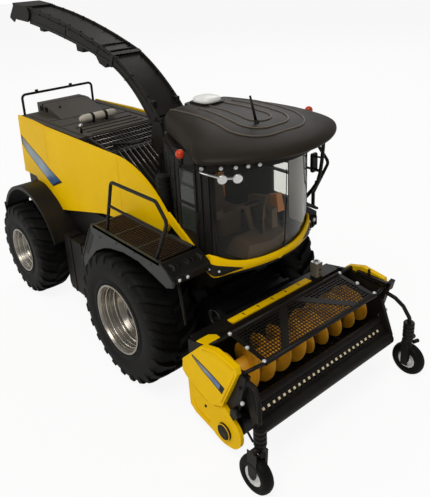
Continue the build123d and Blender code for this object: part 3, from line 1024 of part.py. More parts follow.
def header_socket():
    """Upright square sleeve with a round bore, on the header's top beam."""
    x, y = SOCKET_AT
    low = TOP_BEAM[1][1]
    sleeve = block(x - SOCKET_HALF, x + SOCKET_HALF, y - SOCKET_HALF, y + SOCKET_HALF, low, low + SOCKET_HIGH)
    return sleeve - column(x, y, SOCKET_BORE_R, low + SOCKET_FLOOR, low + SOCKET_HIGH + 1)


def header_shield_right():
    """Painted side shield with the rounded drive cover below it."""
    y = -HEADER_HALF
    cap = disc(*REEL_AXIS, CAP_R, y - COVER_T, y - COVER_T - CAP_T)
    return slab(y, y - SHIELD_T, *SHIELD) + slab(y, y - COVER_T, *COVER) + cap


def mesh_guard():
    """Top guard: a tube frame, fore-aft bars and a V brace across them."""
    (rear_x, rear_z), (front_x, front_z) = GUARD_REAR, GUARD_FRONT
    half, thin = GUARD_HALF, GUARD_BAR_H / 2
    guard = cross_bar(rear_x, rear_z, GUARD_TUBE_R, half) + cross_bar(front_x, front_z, GUARD_TUBE_R, half)

    def fore_aft(y, width):
        return slab(
            y - width / 2, y + width / 2, (rear_x, rear_z - thin), (rear_x, rear_z + thin),
            (front_x, front_z + thin), (front_x, front_z - thin),
        )

    reach = half - GUARD_EDGE / 2
    for i in range(GUARD_BAR_COUNT + 1):
        width = GUARD_EDGE if i in (0, GUARD_BAR_COUNT) else GUARD_BAR
        guard += fore_aft(-reach + i * 2 * reach / GUARD_BAR_COUNT, width)
    sheet = fore_aft(0, 2 * half)
    tall = 2 * front_z
    for side in (-1, 1):
        leg = plate(
            0, tall, (rear_x, side * BRACE_REAR), (front_x, side * BRACE_FRONT),
            (front_x, side * (BRACE_FRONT + BRACE_T)), (rear_x, side * (BRACE_REAR + BRACE_T)),
        )
        guard += leg & sheet
        for x, z, foot_x, foot_z in GUARD_FEET:
            guard += rod((x, side * GUARD_FOOT_IN, z), (foot_x, side * GUARD_FOOT_OUT, foot_z), GUARD_FOOT_R)
    return guard


def auger():
    """Cross auger: a core tube with slanted flights that lead towards the middle."""
    x, z = AUGER_AXIS
    half = HEADER_HALF - END_T - GAP
    pitch = 2 * half / FLIGHT_COUNT
    flights = []
    for i in range(FLIGHT_COUNT):
        y = -half + (i + 0.5) * pitch
        lean = -FLIGHT_LEAN if y < 0 else FLIGHT_LEAN
        flight = Rot(90, 0, 0) * Cylinder(AUGER_R / cos(radians(FLIGHT_LEAN)), FLIGHT_T)
        flights.append(Pos(x, y, z) * Rot(0, 0, lean) * flight)
    screw = cross_bar(x, z, AUGER_CORE_R, half).fuse(*flights)
    return screw & cross_bar(x, z, AUGER_R, half)


def tine_reel():
    """Pick-up reel: drum with rows of tines, on a shaft between the end walls."""
    x, z = REEL_AXIS
    reach = REEL_HALF - TINE_EDGE
    tines = []
    for i in range(TINE_ROW_COUNT):
        turn = Pos(x, 0, z) * Rot(0, (i + 0.5) * 360 / TINE_ROW_COUNT, 0)
        for j in range(TINE_COUNT):
            y = -reach + j * 2 * reach / (TINE_COUNT - 1)
            low, high = REEL_DRUM_R - TINE_ROOT, REEL_DRUM_R + TINE_OUT
            tines.append(turn * block(-TINE / 2, TINE / 2, y - TINE / 2, y + TINE / 2, low, high))
    shaft = cross_bar(x, z, REEL_SHAFT_R, HEADER_HALF - END_T - GAP)
    return cross_bar(x, z, REEL_DRUM_R, REEL_HALF).fuse(shaft, *tines)


def wind_guard():
    """Roller, slotted strip and upper bar between two arms that hang from a cross pivot."""
    (rx, rz), (px, pz) = ROLLER_AXIS, ROLLER_PIVOT
    y, t = HEADER_HALF - END_T - GAP, ARM_HALF
    arm = slab(
        -y, -y + t, (px - t, pz), (px + t, pz), (rx + t, rz + ARM_ABOVE), (rx + t, rz - ARM_BELOW),
        (rx - t, rz - ARM_BELOW),
    )
    arm += disc(px, pz, ROLLER_PIVOT_R, -y, -y + t)
    inner = y - t + ARM_LAP
    strip = slab(-inner, inner, *WIND_STRIP)
    low, high = WIND_SLOT_Z
    for i in range(WIND_SLOT_COUNT):
        slot_y = (i - (WIND_SLOT_COUNT - 1) / 2) * WIND_PITCH
        strip -= block(px, rx, slot_y - WIND_SLOT / 2, slot_y + WIND_SLOT / 2, low, high)
    guard = arm + left_of(arm) + strip + cross_bar(*WIND_BAR_AT, WIND_BAR_R, inner)
    return guard + cross_bar(rx, rz, ROLLER_R, inner)


def gauge_arms():
    """Bent arms that carry the castor spindles beside the pick-up, each ending in a ribbed sleeve."""
    arm = wire([(x, -y, z) for x, y, z in GAUGE_ARM], ARM_WIRE_R, ARM_BEND)
    top = SLEEVE_LOW + SLEEVE_H
    sleeve = column(CASTOR_X, -CASTOR_Y, SLEEVE_R, SLEEVE_LOW, top)
    for i in range(SLEEVE_RIB_COUNT):
        z = SLEEVE_LOW + (i + 0.5) * SLEEVE_H / SLEEVE_RIB_COUNT
        sleeve += column(CASTOR_X, -CASTOR_Y, SLEEVE_R + SLEEVE_RIB, z - SLEEVE_RIB_HALF, z + SLEEVE_RIB_HALF)
    pin_top = SLEEVE_LOW + CASTOR_PIN_UP
    sleeve -= column(CASTOR_X, -CASTOR_Y, CASTOR_PIN_R + RUN, SLEEVE_LOW - 1, pin_top + GAP)
    arm += sleeve
    return arm + left_of(arm)


def castor_fork_right():
    """Castor with its spindle, one leg on the inner side and the wheel's axle."""
    x, y, top = CASTOR_X, -CASTOR_Y, SLEEVE_LOW - GAP
    low = top - CROWN_T
    pin = column(x, y, CASTOR_PIN_R, low, SLEEVE_LOW + CASTOR_PIN_UP)
    crown = column(x, y, SLEEVE_R, low, top)
    leg_in = -(GAUGE_Y - GAUGE_W / 2 - GAP)
    leg = slab(
        leg_in, leg_in + LEG_T, (x - LEG_HALF, low), (x + LEG_HALF, low),
        (GAUGE_X + LEG_FOOT_HALF, GAUGE_R - LEG_FOOT_HALF), (GAUGE_X - LEG_FOOT_HALF, GAUGE_R - LEG_FOOT_HALF),
    )
    leg += block(x - LEG_HALF, x + LEG_HALF, leg_in, y + CROWN_LAP, low - CROWN_DROP, top - CROWN_T / 2)
    return pin + crown + leg + disc(GAUGE_X, GAUGE_R, GAUGE_AXLE_R, leg_in + LEG_T, -GAUGE_Y - GAUGE_W / 2)


def gauge_wheel_right():
    """Small solid tyre on a plain hub, bored for the castor's axle."""
    half, step = GAUGE_W / 2, GAUGE_SHOULDER
    hub, seat, bore = half - HUB_INSET, HUB_SEAT_R, GAUGE_AXLE_R / 2
    wheel = faceted_ring(
        GAUGE_SIDE_COUNT, (-hub, bore), (-hub, seat), (-half, seat), (-half, GAUGE_WALL_R),
        (-half + step, GAUGE_R), (half - step, GAUGE_R), (half, GAUGE_WALL_R), (half, seat), (hub, seat),
        (hub, bore),
    )
    wheel -= cross_bar(0, 0, GAUGE_AXLE_R + RUN, GAUGE_W)
    return Pos(GAUGE_X, -GAUGE_Y, GAUGE_R) * wheel


# All pieces

makers = (
    chassis_frame, front_axle, rear_axle, tie_rod, body_core, engine_deck, radiator_screen, air_tank, rear_rail,
    cab_floor, cab_frame, windscreen, side_glass, cab_roof, lamp_bar, work_lamps, beacons, mirrors, cab_interior,
    cab_belt, intake_stack, spout_turret, spout_boom, lift_barrel, lift_rod, deflector, deflector_tip,
    feeder_house, header_frame, header_socket, mesh_guard, auger, tine_reel, wind_guard, gauge_arms,
)
right_hand_makers = {
    "knuckle": knuckle_right, "side_panel": side_panel_right, "rear_fender": rear_fender_right,
    "platform": platform_right, "handrail": handrail_right, "header_shield": header_shield_right,
    "castor_fork": castor_fork_right, "gauge_wheel": gauge_wheel_right,
}
nodes = {make.__name__: make() for make in makers}
for name, make in right_hand_makers.items():
    nodes[f"{name}_right"] = make()
    nodes[f"{name}_left"] = left_of(nodes[f"{name}_right"])
for name, w in (("front", FRONT), ("rear", REAR)):
    tyre_shape, rim_shape = tyre(w), rim(w)
    for side, word in ((-1, "right"), (1, "left")):
        nodes[f"{name}_tyre_{word}"] = place_wheel(tyre_shape, w, side)
        nodes[f"{name}_rim_{word}"] = place_wheel(rim_shape, w, side)

boxes = [shape.bounding_box() for shape in nodes.values()]
middle_x = round((min(b.min.X for b in boxes) + max(b.max.X for b in boxes)) / 2, 2)
low_z = min(b.min.Z for b in boxes)
print("middle_x", middle_x, "lowest", round(low_z, 3), "nodes", len(nodes))
for name, shape in nodes.items():
    export_step(Pos(-middle_x, 0, 0) * shape, f"parts/{name}.step")
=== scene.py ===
"""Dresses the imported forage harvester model: camera, studio, materials and the detail the solids leave out.

Points are written in the layout millimetres of the solids, with x = 0 at the front axle; at() turns them
into the row frame's metres. The photo shows the right side, where y is below 0.
"""
import json
from collections import namedtuple
from math import atan2, cos, hypot, pi, radians, sin

import bmesh
import bpy
from mathutils import Matrix, Vector


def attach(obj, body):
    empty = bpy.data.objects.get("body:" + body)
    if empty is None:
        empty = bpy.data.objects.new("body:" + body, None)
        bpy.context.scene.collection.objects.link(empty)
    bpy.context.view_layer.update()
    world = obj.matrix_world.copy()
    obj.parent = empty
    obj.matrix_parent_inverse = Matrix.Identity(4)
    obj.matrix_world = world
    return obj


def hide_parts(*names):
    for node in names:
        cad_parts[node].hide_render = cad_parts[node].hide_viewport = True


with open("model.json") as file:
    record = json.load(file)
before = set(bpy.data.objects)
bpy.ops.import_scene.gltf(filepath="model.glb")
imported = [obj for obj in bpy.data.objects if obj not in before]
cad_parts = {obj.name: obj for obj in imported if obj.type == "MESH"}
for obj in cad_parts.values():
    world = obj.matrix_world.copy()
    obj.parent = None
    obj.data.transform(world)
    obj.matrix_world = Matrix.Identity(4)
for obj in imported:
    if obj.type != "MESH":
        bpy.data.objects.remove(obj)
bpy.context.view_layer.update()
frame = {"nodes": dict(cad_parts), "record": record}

nodes = frame["nodes"]
SHIFT_X = 37.85
MM = 0.001
SIDES = (("right", -1), ("left", 1))
FORWARD, UP = (1, 0, 0), (0, 0, 1)


def at(x, y, z):
    """A point of the layout, in millimetres, as a point of the row frame in metres."""
    return Vector(((x + SHIFT_X) * MM, y * MM, z * MM))


def add_object(name, data):
    """An object in the scene that holds the data."""
    made = bpy.data.objects.new(name, data)
    bpy.context.scene.collection.objects.link(made)
    return made


# Camera, solved on the photograph: place, heading, tilt and roll, focal length and middle in pixels
CAMERA_AT = (209.9, -163.3, 186.2)
CAMERA_TURN, CAMERA_TILT, CAMERA_ROLL = 51.46, 21.23, -3.21
FOCAL_PX, MIDDLE_PX = 596.5, (203.08, 187.67)
FRAME_W, FRAME_H = 430, 497
SENSOR = 36.0


def add_camera():
    turn, tilt, roll = radians(CAMERA_TURN), radians(CAMERA_TILT), radians(CAMERA_ROLL)
    back = Vector((sin(turn) * cos(tilt), -cos(turn) * cos(tilt), sin(tilt)))
    right = Vector(UP).cross(back).normalized()
    up = back.cross(right)
    x_axis = right * cos(roll) + up * sin(roll)
    y_axis = -right * sin(roll) + up * cos(roll)
    data = bpy.data.cameras.new("camera")
    data.sensor_width = SENSOR
    data.lens = FOCAL_PX * SENSOR / FRAME_H
    data.shift_x = (FRAME_W / 2 - MIDDLE_PX[0]) / FRAME_H
    data.shift_y = (MIDDLE_PX[1] - FRAME_H / 2) / FRAME_H
    data.clip_start, data.clip_end = 0.005, 20.0
    camera = add_object("camera", data)
    pose = Matrix((x_axis, y_axis, back)).transposed().to_4x4()
    pose.translation = at(*CAMERA_AT)
    camera.matrix_world = pose
    bpy.context.scene.camera = camera


add_camera()
bpy.context.scene.view_settings.view_transform = "Standard"


# Materials
RAMP_ENDS = (0.25, 0.75)
COAT_ROUGHNESS, BUMP_STRENGTH = 0.12, 0.6
BAND_GRAIN, BAND_SWING = 700.0, 0.10


def linear(red, green, blue):
    """A colour written as screen values from 0 to 255, as linear light."""
    def channel(value):
        value /= 255
        return value / 12.92 if value <= 0.04045 else ((value + 0.055) / 1.055) ** 2.4
    return (channel(red), channel(green), channel(blue), 1.0)


def add_node(tree, kind, operation=None, **inputs):
    """A shader node with its inputs set by name, where an underscore stands for a space."""
    node = tree.nodes.new("ShaderNode" + kind)
    if operation:
        node.operation = operation
    for name, value in inputs.items():
        node.inputs[name.replace("_", " ")].default_value = value
    return node


def material(name, colour, second, roughness, metallic=0.0, coat=0.0, mottle=90.0, grain=1800.0,
             grain_depth=0.00002, rough_swing=0.08, specular=0.5, transmission=0.0, ior=1.45):
    """A surface with mottled colour, uneven gloss and fine grain. Sizes are in waves per metre and metres."""
    made = bpy.data.materials.new(name)
    made.use_nodes = True
    tree = made.node_tree
    link = tree.links.new
    shader = tree.nodes["Principled BSDF"]
    where = add_node(tree, "TexCoord").outputs["Object"]
    broad = add_node(tree, "TexNoise", Scale=mottle, Detail=5.0, Roughness=0.6)
    link(where, broad.inputs["Vector"])
    ramp = add_node(tree, "ValToRGB")
    for stop, share, shade in zip(ramp.color_ramp.elements, RAMP_ENDS, (colour, second)):
        stop.position, stop.color = share, linear(*shade)
    link(broad.outputs["Fac"], ramp.inputs["Fac"])
    link(ramp.outputs["Color"], shader.inputs["Base Color"])
    gloss = add_node(tree, "MapRange", To_Min=max(0.02, roughness - rough_swing),
                     To_Max=min(1.0, roughness + rough_swing))
    link(broad.outputs["Fac"], gloss.inputs["Value"])
    link(gloss.outputs["Result"], shader.inputs["Roughness"])
    fine = add_node(tree, "TexNoise", Scale=grain, Detail=3.0)
    link(where, fine.inputs["Vector"])
    bump = add_node(tree, "Bump", Strength=BUMP_STRENGTH, Distance=grain_depth)
    link(fine.outputs["Fac"], bump.inputs["Height"])
    link(bump.outputs["Normal"], shader.inputs["Normal"])
    shader.inputs["Metallic"].default_value = metallic
    shader.inputs["Coat Weight"].default_value = coat
    shader.inputs["Coat Roughness"].default_value = COAT_ROUGHNESS
    shader.inputs["Specular IOR Level"].default_value = specular
    shader.inputs["Transmission Weight"].default_value = transmission
    shader.inputs["IOR"].default_value = ior
    return made


yellow = material("yellow_enamel", (248, 202, 0), (236, 186, 0), 0.4, mottle=24, grain=900,
                  grain_depth=0.000012, specular=0.07)
black = material("black_moulded", (18, 16, 14), (31, 28, 24), 0.42, grain=3200, grain_depth=0.00003,
                 specular=0.17)
dark_grey = material("dark_grey_moulded", (30, 29, 27), (42, 40, 37), 0.5, grain=3600,
                     grain_depth=0.00003, specular=0.14)
roof_grey = material("roof_grey_moulded", (34, 29, 23), (43, 37, 30), 0.44, grain=4200,
                     grain_depth=0.000025, specular=0.12)
deck_grey = material("deck_grey_moulded", (56, 51, 46), (72, 66, 58), 0.5, mottle=60, grain=2600,
                     grain_depth=0.00003, specular=0.3)
brown = material("brown_grating", (38, 27, 20), (54, 38, 26), 0.6, grain=2400, grain_depth=0.00004,
                 specular=0.25)
cast_grey = material("dark_cast_metal", (18, 18, 19), (30, 29, 29), 0.42, metallic=0.2, grain=1500,
                     grain_depth=0.00005, specular=0.3)
rim_grey = material("rim_silver_grey", (142, 136, 126), (172, 166, 156), 0.3, metallic=0.9, mottle=150,
                    grain=1200)
silver = material("lamp_silver", (206, 206, 204), (226, 226, 224), 0.3, metallic=0.35, grain=1400)
rubber = material("tyre_rubber", (13, 13, 13), (24, 23, 22), 0.55, mottle=180, grain=2600,
                  grain_depth=0.00005, specular=0.1)
orange = material("orange_enamel", (232, 172, 44), (196, 132, 22), 0.36, mottle=140, grain=900,
                  specular=0.3)
bead = material("beacon_bead", (212, 66, 22), (176, 38, 10), 0.25, coat=0.2, mottle=420, specular=0.3)
beige = material("tank_beige", (170, 163, 148), (186, 179, 164), 0.4, mottle=200, grain=1600)
glass = material("tinted_glass", (238, 238, 234), (226, 228, 222), 0.0, mottle=14, transmission=1.0,
                 rough_swing=0.0, grain=60, grain_depth=0.000001, specular=0.7, ior=1.2)
side_tint = material("side_window", (70, 74, 66), (48, 52, 46), 0.08, mottle=60, transmission=0.25,
                     rough_swing=0.02, grain=60, grain_depth=0.00001, specular=0.4)
apron_grey = material("apron_grey", (42, 44, 42), (56, 58, 55), 0.42, mottle=60, grain=3000, specular=0.25)
socket_grey = material("socket_grey", (112, 104, 92), (136, 126, 110), 0.45, mottle=160, specular=0.3)
# Lighter copy of the roof's colour for the roof beads: painted highlight.
lit_bead_grey = material("roof_bead_painted_highlight", (74, 66, 56), (90, 80, 68), 0.4, grain=3000, specular=0.3)
dark_glass = material("dark_window", (38, 42, 40), (58, 62, 58), 0.12, mottle=40, grain=80)
leather = material("seat_leather", (196, 122, 34), (160, 90, 20), 0.5, mottle=200, grain=2600,
                   grain_depth=0.00004)
# Pale pads in the wind guard's slots: painted light for the bright floor seen through them.
pale = material("pale_painted_see_through_light", (236, 222, 190), (216, 198, 158), 0.5, mottle=200, grain=1500)
steel = material("bright_steel", (196, 194, 190), (216, 214, 210), 0.24, metallic=0.85, mottle=240,
                 grain_depth=0.00001)
white = material("dome_white", (236, 236, 232), (224, 224, 220), 0.35, mottle=120, grain=1400)
seat_cloth = material("seat_moulded", (66, 52, 38), (92, 70, 48), 0.7, grain=3000, grain_depth=0.00008)


def banded(name, start, end, bands):
    """Paint whose colour runs along a line on the piece, between two layout points."""
    made = material(name, (60, 90, 140), (90, 120, 160), 0.3, coat=0.3)
    tree = made.node_tree
    link = tree.links.new
    where = add_node(tree, "TexCoord").outputs["Object"]
    run = at(*end) - at(*start)
    shift = add_node(tree, "VectorMath", "SUBTRACT")
    shift.inputs[1].default_value = at(*start)
    link(where, shift.inputs[0])
    along = add_node(tree, "VectorMath", "DOT_PRODUCT")
    along.inputs[1].default_value = run / run.length_squared
    link(shift.outputs["Vector"], along.inputs[0])
    grain = add_node(tree, "TexNoise", Scale=BAND_GRAIN)
    link(where, grain.inputs["Vector"])
    swing = add_node(tree, "Math", "MULTIPLY_ADD")
    swing.inputs[1].default_value = BAND_SWING
    link(grain.outputs["Fac"], swing.inputs[0])
    link(along.outputs["Value"], swing.inputs[2])
    ramp = add_node(tree, "ValToRGB")
    stops = ramp.color_ramp.elements
    for share, _ in bands[1:-1]:
        stops.new(share)
    for stop, (share, colour) in zip(stops, bands):
        stop.position, stop.color = share, linear(*colour)
    link(swing.outputs["Value"], ramp.inputs["Fac"])
    link(ramp.outputs["Color"], made.node_tree.nodes["Principled BSDF"].inputs["Base Color"])
    return made


stripe_paint = banded("panel_stripe_paint", (-138, -27, 88), (-86, -30, 70), (
    (0.0, (120, 124, 120)), (0.12, (96, 104, 104)), (0.3, (120, 136, 146)), (0.48, (104, 124, 140)),
    (0.62, (120, 142, 160)), (0.8, (62, 98, 136)), (1.0, (26, 78, 132)),
))
shield_paint = banded("shield_stripe_paint", (50, -46.6, 39), (69.5, -46.6, 31), (
    (0.0, (50, 50, 48)), (0.25, (104, 106, 106)), (0.5, (126, 136, 150)), (0.7, (70, 98, 160)),
    (0.86, (84, 112, 168)), (1.0, (40, 62, 90)),
))

finish = {
    "yellow_paint": yellow, "black_plastic": black, "dark_grey_plastic": dark_grey, "grey_metal": cast_grey,
    "silver_paint": rim_grey, "tyre_rubber": rubber, "tinted_glass": glass, "lamp_silver": silver,
    "beacon_orange": bead, "orange_paint": orange, "beige_plastic": beige,
}
own_finish = {
    "cab_roof": roof_grey, "engine_deck": deck_grey, "cab_interior": seat_cloth, "header_frame": black,
    "tine_reel": cast_grey, "castor_fork_right": black, "castor_fork_left": black, "gauge_arms": black,
    "header_socket": rim_grey, "side_glass": side_tint,
}
for part in frame["record"]["subparts"]:
    node = nodes[part["node"]]
    node.data.materials.clear()
    node.data.materials.append(own_finish.get(part["node"], finish[part["material_slot"]]))


# Shapes
DOT_RINGS = ((-0.4, 1.0), (0.35, 1.0), (0.8, 0.75), (1.0, 0.35))  # share of the height and of the radius
WELD = 0.001  # millimetres


class Shape:
    """Points in layout millimetres and faces of one piece, each face with a material number."""

    def __init__(self):
        self.points, self.faces, self.marks, self.smooth = [], [], [], []

    def add(self, points, faces, mark=0, smooth=False):
        first = len(self.points)
        self.points.extend(points)
        for face in faces:
            self.faces.append([first + i for i in face])
            self.marks.append(mark)
            self.smooth.append(smooth)

    def rows(self, rows, mark=0, smooth=True, around=False, closed=False):
        """Quads between rows of points. around joins the ends of each row, closed the last row to the first."""
        wide, count = len(rows[0]), len(rows)
        faces = []
        for i in range(count if closed else count - 1):
            after = (i + 1) % count
            for j in range(wide if around else wide - 1):
                k = (j + 1) % wide
                faces.append((i * wide + j, i * wide + k, after * wide + k, after * wide + j))
        self.add([p for row in rows for p in row], faces, mark, smooth)

    def cap(self, row, mark=0, smooth=False):
        """One face over a ring of points."""
        self.add(row, [tuple(range(len(row)))], mark, smooth)

    def lathe(self, centre, profile, steps, mark=0):
        """A closed outline of (y, r) points turned about a cross axle."""
        x, y, z = centre
        ring = []
        for i in range(steps):
            turn = 2 * pi * i / steps
            ring.append([(x + r * sin(turn), y + across, z + r * cos(turn)) for across, r in profile])
        self.rows(ring, mark, True, closed=True)

    def tube(self, path, radius, sides=10, mark=0):
        """Round bar along a run of points; radius is one value or one for each point."""
        points = [Vector(p) for p in path]
        radii = [radius] * len(points) if isinstance(radius, (int, float)) else radius
        side = None
        rows = []
        for i, point in enumerate(points):
            run = (points[min(i + 1, len(points) - 1)] - points[max(i - 1, 0)]).normalized()
            if side is None:
                side = run.orthogonal().normalized()
            side = (side - run * side.dot(run)).normalized()
            other = run.cross(side)
            row = []
            for j in range(sides):
                turn = 2 * pi * j / sides
                row.append(tuple(point + (side * cos(turn) + other * sin(turn)) * radii[i]))
            rows.append(row)
        self.rows(rows, mark, True, around=True)
        self.cap(rows[0], mark)
        self.cap(rows[-1], mark)

    def turned(self, foot, axis, steps, sides=20, mark=0):
        """Round part along an axis from its foot, by steps of (distance, radius)."""
        foot, axis = Vector(foot), Vector(axis)
        self.tube([foot + axis * distance for distance, _ in steps], [r for _, r in steps], sides, mark)

    def prism(self, low, high, mark=0):
        """Flat outline joined to the same outline moved; low and high are equally long rows of points."""
        n = len(low)
        faces = [tuple(reversed(range(n))), tuple(range(n, 2 * n))]
        faces += [(i, (i + 1) % n, n + (i + 1) % n, n + i) for i in range(n)]
        self.add(list(low) + list(high), faces, mark)

    def plate(self, outline, y0, y1, mark=0):
        """Outline of (x, z) points, from one y to the other."""
        self.prism([(x, y0, z) for x, z in outline], [(x, y1, z) for x, z in outline], mark)

    def section(self, outline, x0, x1, mark=0):
        """Outline of (y, z) points, from one x to the other."""
        self.prism([(x0, y, z) for y, z in outline], [(x1, y, z) for y, z in outline], mark)

    def box(self, corner, other, mark=0):
        (x0, x1), (y0, y1), (z0, z1) = (sorted(pair) for pair in zip(corner, other))
        foot = [(x0, y0), (x1, y0), (x1, y1), (x0, y1)]
        self.prism([(x, y, z0) for x, y in foot], [(x, y, z1) for x, y in foot], mark)

    def dot(self, centre, normal, radius, height, mark=0, sides=10):
        """Low domed head, such as a rivet, standing on a face."""
        up = Vector(normal).normalized()
        side = up.orthogonal().normalized()
        other = up.cross(side)
        rows = []
        for rise, wide in DOT_RINGS:
            rows.append([
                tuple(Vector(centre) + up * height * rise + (side * cos(t) + other * sin(t)) * radius * wide)
                for t in (2 * pi * i / sides for i in range(sides))
            ])
        self.rows(rows, mark, True, around=True)
        self.cap(rows[-1], mark, True)

    def join(self, other):
        first = len(self.points)
        self.points += other.points
        self.faces += [[first + i for i in face] for face in other.faces]
        self.marks += other.marks
        self.smooth += other.smooth

    def mirrored(self):
        """The same piece on the other side of the model."""
        other = Shape()
        other.points = [(x, -y, z) for x, y, z in self.points]
        other.faces = [list(reversed(face)) for face in self.faces]
        other.marks, other.smooth = list(self.marks), list(self.smooth)
        return other


def place(name, shape, body, materials, replaced=()):
    """Make the mesh object, give it its materials and let it ride on its body."""
    mesh = bpy.data.meshes.new(name)
    mesh.from_pydata([at(*p) for p in shape.points], [], shape.faces)
    for item in materials:
        mesh.materials.append(item)
    mesh.polygons.foreach_set("material_index", shape.marks)
    mesh.polygons.foreach_set("use_smooth", shape.smooth)
    work = bmesh.new()
    work.from_mesh(mesh)
    bmesh.ops.remove_doubles(work, verts=work.verts, dist=MM * WELD)
    bmesh.ops.recalc_face_normals(work, faces=work.faces)
    work.to_mesh(mesh)
    work.free()
    thing = add_object(name, mesh)
    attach(thing, body)
    if replaced:
        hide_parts(*replaced)
    return thing


def spaced(low, high, pitch):
    """Places between two ends, about a pitch apart."""
    count = int((high - low) / pitch)
    return [low + (high - low) * i / count for i in range(1, count)]


def eased(rows, steps):
    """Rows of a table with smooth rows between them, through all of its own."""
    made = []
    last = len(rows) - 1
    for i in range(last):
        a, b, c, d = rows[max(i - 1, 0)], rows[i], rows[i + 1], rows[min(i + 2, last)]
        for k in range(steps):
            t = k / steps
            made.append(tuple(
                q + 0.5 * t * (r - p + t * (2 * p - 5 * q + 4 * r - o + t * (3 * (q - r) + o - p)))
                for p, q, r, o in zip(a, b, c, d)
            ))
    return made + [rows[last]]


def run_between(a, b, steps):
    """Points from one to the other, without the last."""
    return [(a[0] + (b[0] - a[0]) * k / steps, a[1] + (b[1] - a[1]) * k / steps) for k in range(steps)]


def squarish(x, y, half_x, half_y, z, power, count=40):
    """A level ring between a circle and a square; a higher power is squarer."""
    row = []
    for k in range(count):
        turn = 2 * pi * k / count
        c, s = cos(turn), sin(turn)
        row.append((x + half_x * abs(c) ** (2 / power) * (1 if c > 0 else -1),
                    y + half_y * abs(s) ** (2 / power) * (1 if s > 0 else -1), z))
    return row


def ring_section(y, r, size):
    """The round section of a ring turned about an axle."""
    return [(y + size * cos(2 * pi * k / 10), r + size * sin(2 * pi * k / 10)) for k in range(11)]


# Tyres: a turned carcass with curved lugs that run over the shoulder
Wheel = namedtuple("Wheel", "radius width rim face x lugs lug_height dish")
FRONT = Wheel(32.5, 24.0, 17.0, 51.4, 0.0, 24, 1.9, 11.0)
REAR = Wheel(27.4, 19.0, 13.2, 49.0, -111.0, 22, 1.6, 8.0)
AXLES = (("front", FRONT), ("rear", REAR))
TYRE_STEPS = 96
LUG_SLANT = 0.30  # of the width, round the tread
LUG = (  # share of the half width, foot over the tread, top below the lug's height, lead, width at foot and top
    (0.02, -0.3, 0.0, 0.00, 2.5, 1.9), (0.16, -0.3, 0.0, 0.10, 2.6, 2.0), (0.32, -0.3, 0.0, 0.23, 2.7, 2.1),
    (0.50, -0.4, 0.05, 0.40, 2.9, 2.3), (0.68, -0.6, 0.2, 0.60, 3.1, 2.5), (0.82, -1.0, 0.6, 0.78, 3.3, 2.7),
    (0.93, -2.0, 1.35, 0.93, 3.5, 2.9),
)
SHOULDER = (  # inset of the lug's outer and inner edge, their depths, width
    (0.4, 1.6, 2.3, 2.6, 3.6), (0.12, 0.8, 3.6, 3.9, 3.2), (0.1, 0.4, 5.2, 5.2, 2.2),
)


def tyre_shape(wheel, side):
    radius, rim = wheel.radius, wheel.rim
    half, tread = wheel.width / 2, radius - wheel.lug_height
    centre = (wheel.x, side * (wheel.face - half), radius)
    wall = [
        (half - 1.6, rim + 0.03), (half - 0.9, rim + 0.25), (half - 0.45, rim + 1.0), (half - 0.4, rim + 1.7),
        (half - 0.75, rim + 2.0), (half - 0.5, rim + 3.6), (half - 0.12, rim + 6.0), (half - 0.05, rim + 8.2),
        (half - 0.2, tread - 3.6), (half - 0.55, tread - 1.9), (half - 1.2, tread - 0.6),
        (half - 2.4, tread + 0.1), (half - 5.0, tread + 0.2), (0.0, tread),
    ]
    shape = Shape()
    shape.lathe(centre, wall + [(-y, r) for y, r in reversed(wall[:-1])], TYRE_STEPS)
    slant = wheel.width * LUG_SLANT
    for row in (-1, 1):
        for i in range(wheel.lugs):
            start = 2 * pi * (i + (0.5 if row == side else 0.0)) / wheel.lugs
            bar = []
            for share, foot, top, lead, foot_w, top_w in LUG:
                across = row * half * share
                middle = start + slant * (0.5 - lead) / radius
                foot_r, top_r = tread + foot, radius - top
                foot_turn, top_turn = foot_w / 2 / foot_r, top_w / 2 / top_r
                bar.append([(across, foot_r, middle - foot_turn), (across, top_r, middle - top_turn),
                            (across, top_r, middle + top_turn), (across, foot_r, middle + foot_turn)])
            last = start - slant * 0.5 / radius
            for out, inner, r_out, r_in, wide in SHOULDER:
                y_out, y_in = row * (half - out), row * (half - inner)
                r0, r1 = radius - wheel.lug_height * 0.2 - r_in, radius - r_out
                turn = wide / 2 / r1
                bar.append([(y_in, r0, last - turn), (y_out, r1, last - turn * 0.85),
                            (y_out, r1, last + turn * 0.85), (y_in, r0, last + turn)])
            placed = [[(centre[0] + r * sin(t), centre[1] + y, centre[2] + r * cos(t)) for y, r, t in line]
                      for line in bar]
            shape.rows(placed, 0, False, around=True)
            shape.cap(placed[0])
            shape.cap(placed[-1])
    return shape


for word, side in SIDES:
    for name, wheel in AXLES:
        place(f"{name}_tyre_smooth_{word}", tyre_shape(wheel, side), f"{name}_wheel_{word}", [rubber],
              (f"{name}_tyre_{word}",))


# Rims: turned rings in the dish, a bright edge and rings on the hub
DISH_RINGS = ((0.0, 0.32, 1), (0.16, 0.2, 0), (0.34, 0.26, 1), (0.56, 0.2, 0), (0.8, 0.3, 1))
HUB_RINGS = ((3.6, 0.3), (5.6, 0.24), (8.2, 0.3))  # inside the dish's wall, thickness
RIM_WALL, DISH_MOUTH, DISH_TAPER, EDGE_OUT, RING_OUT = 1.4, 0.9, 1.6, 0.75, 0.1
for word, side in SIDES:
    for name, wheel in AXLES:
        rings = Shape()
        centre = (wheel.x, side * wheel.face, wheel.radius)
        inner = wheel.rim - RIM_WALL
        for share, size, mark in DISH_RINGS:
            deep = DISH_MOUTH + (wheel.dish - 2.2) * share
            r = inner - DISH_TAPER * share + (RING_OUT if share else EDGE_OUT)
            rings.lathe(centre, ring_section(-side * deep, r, size), 72, mark)
        for inset, size in HUB_RINGS:
            rings.lathe(centre, ring_section(-side * (wheel.dish - 0.1), inner - inset, size), 60, 1)
        place(f"{name}_rim_rings_{word}", rings, f"{name}_wheel_{word}", [rim_grey, steel])


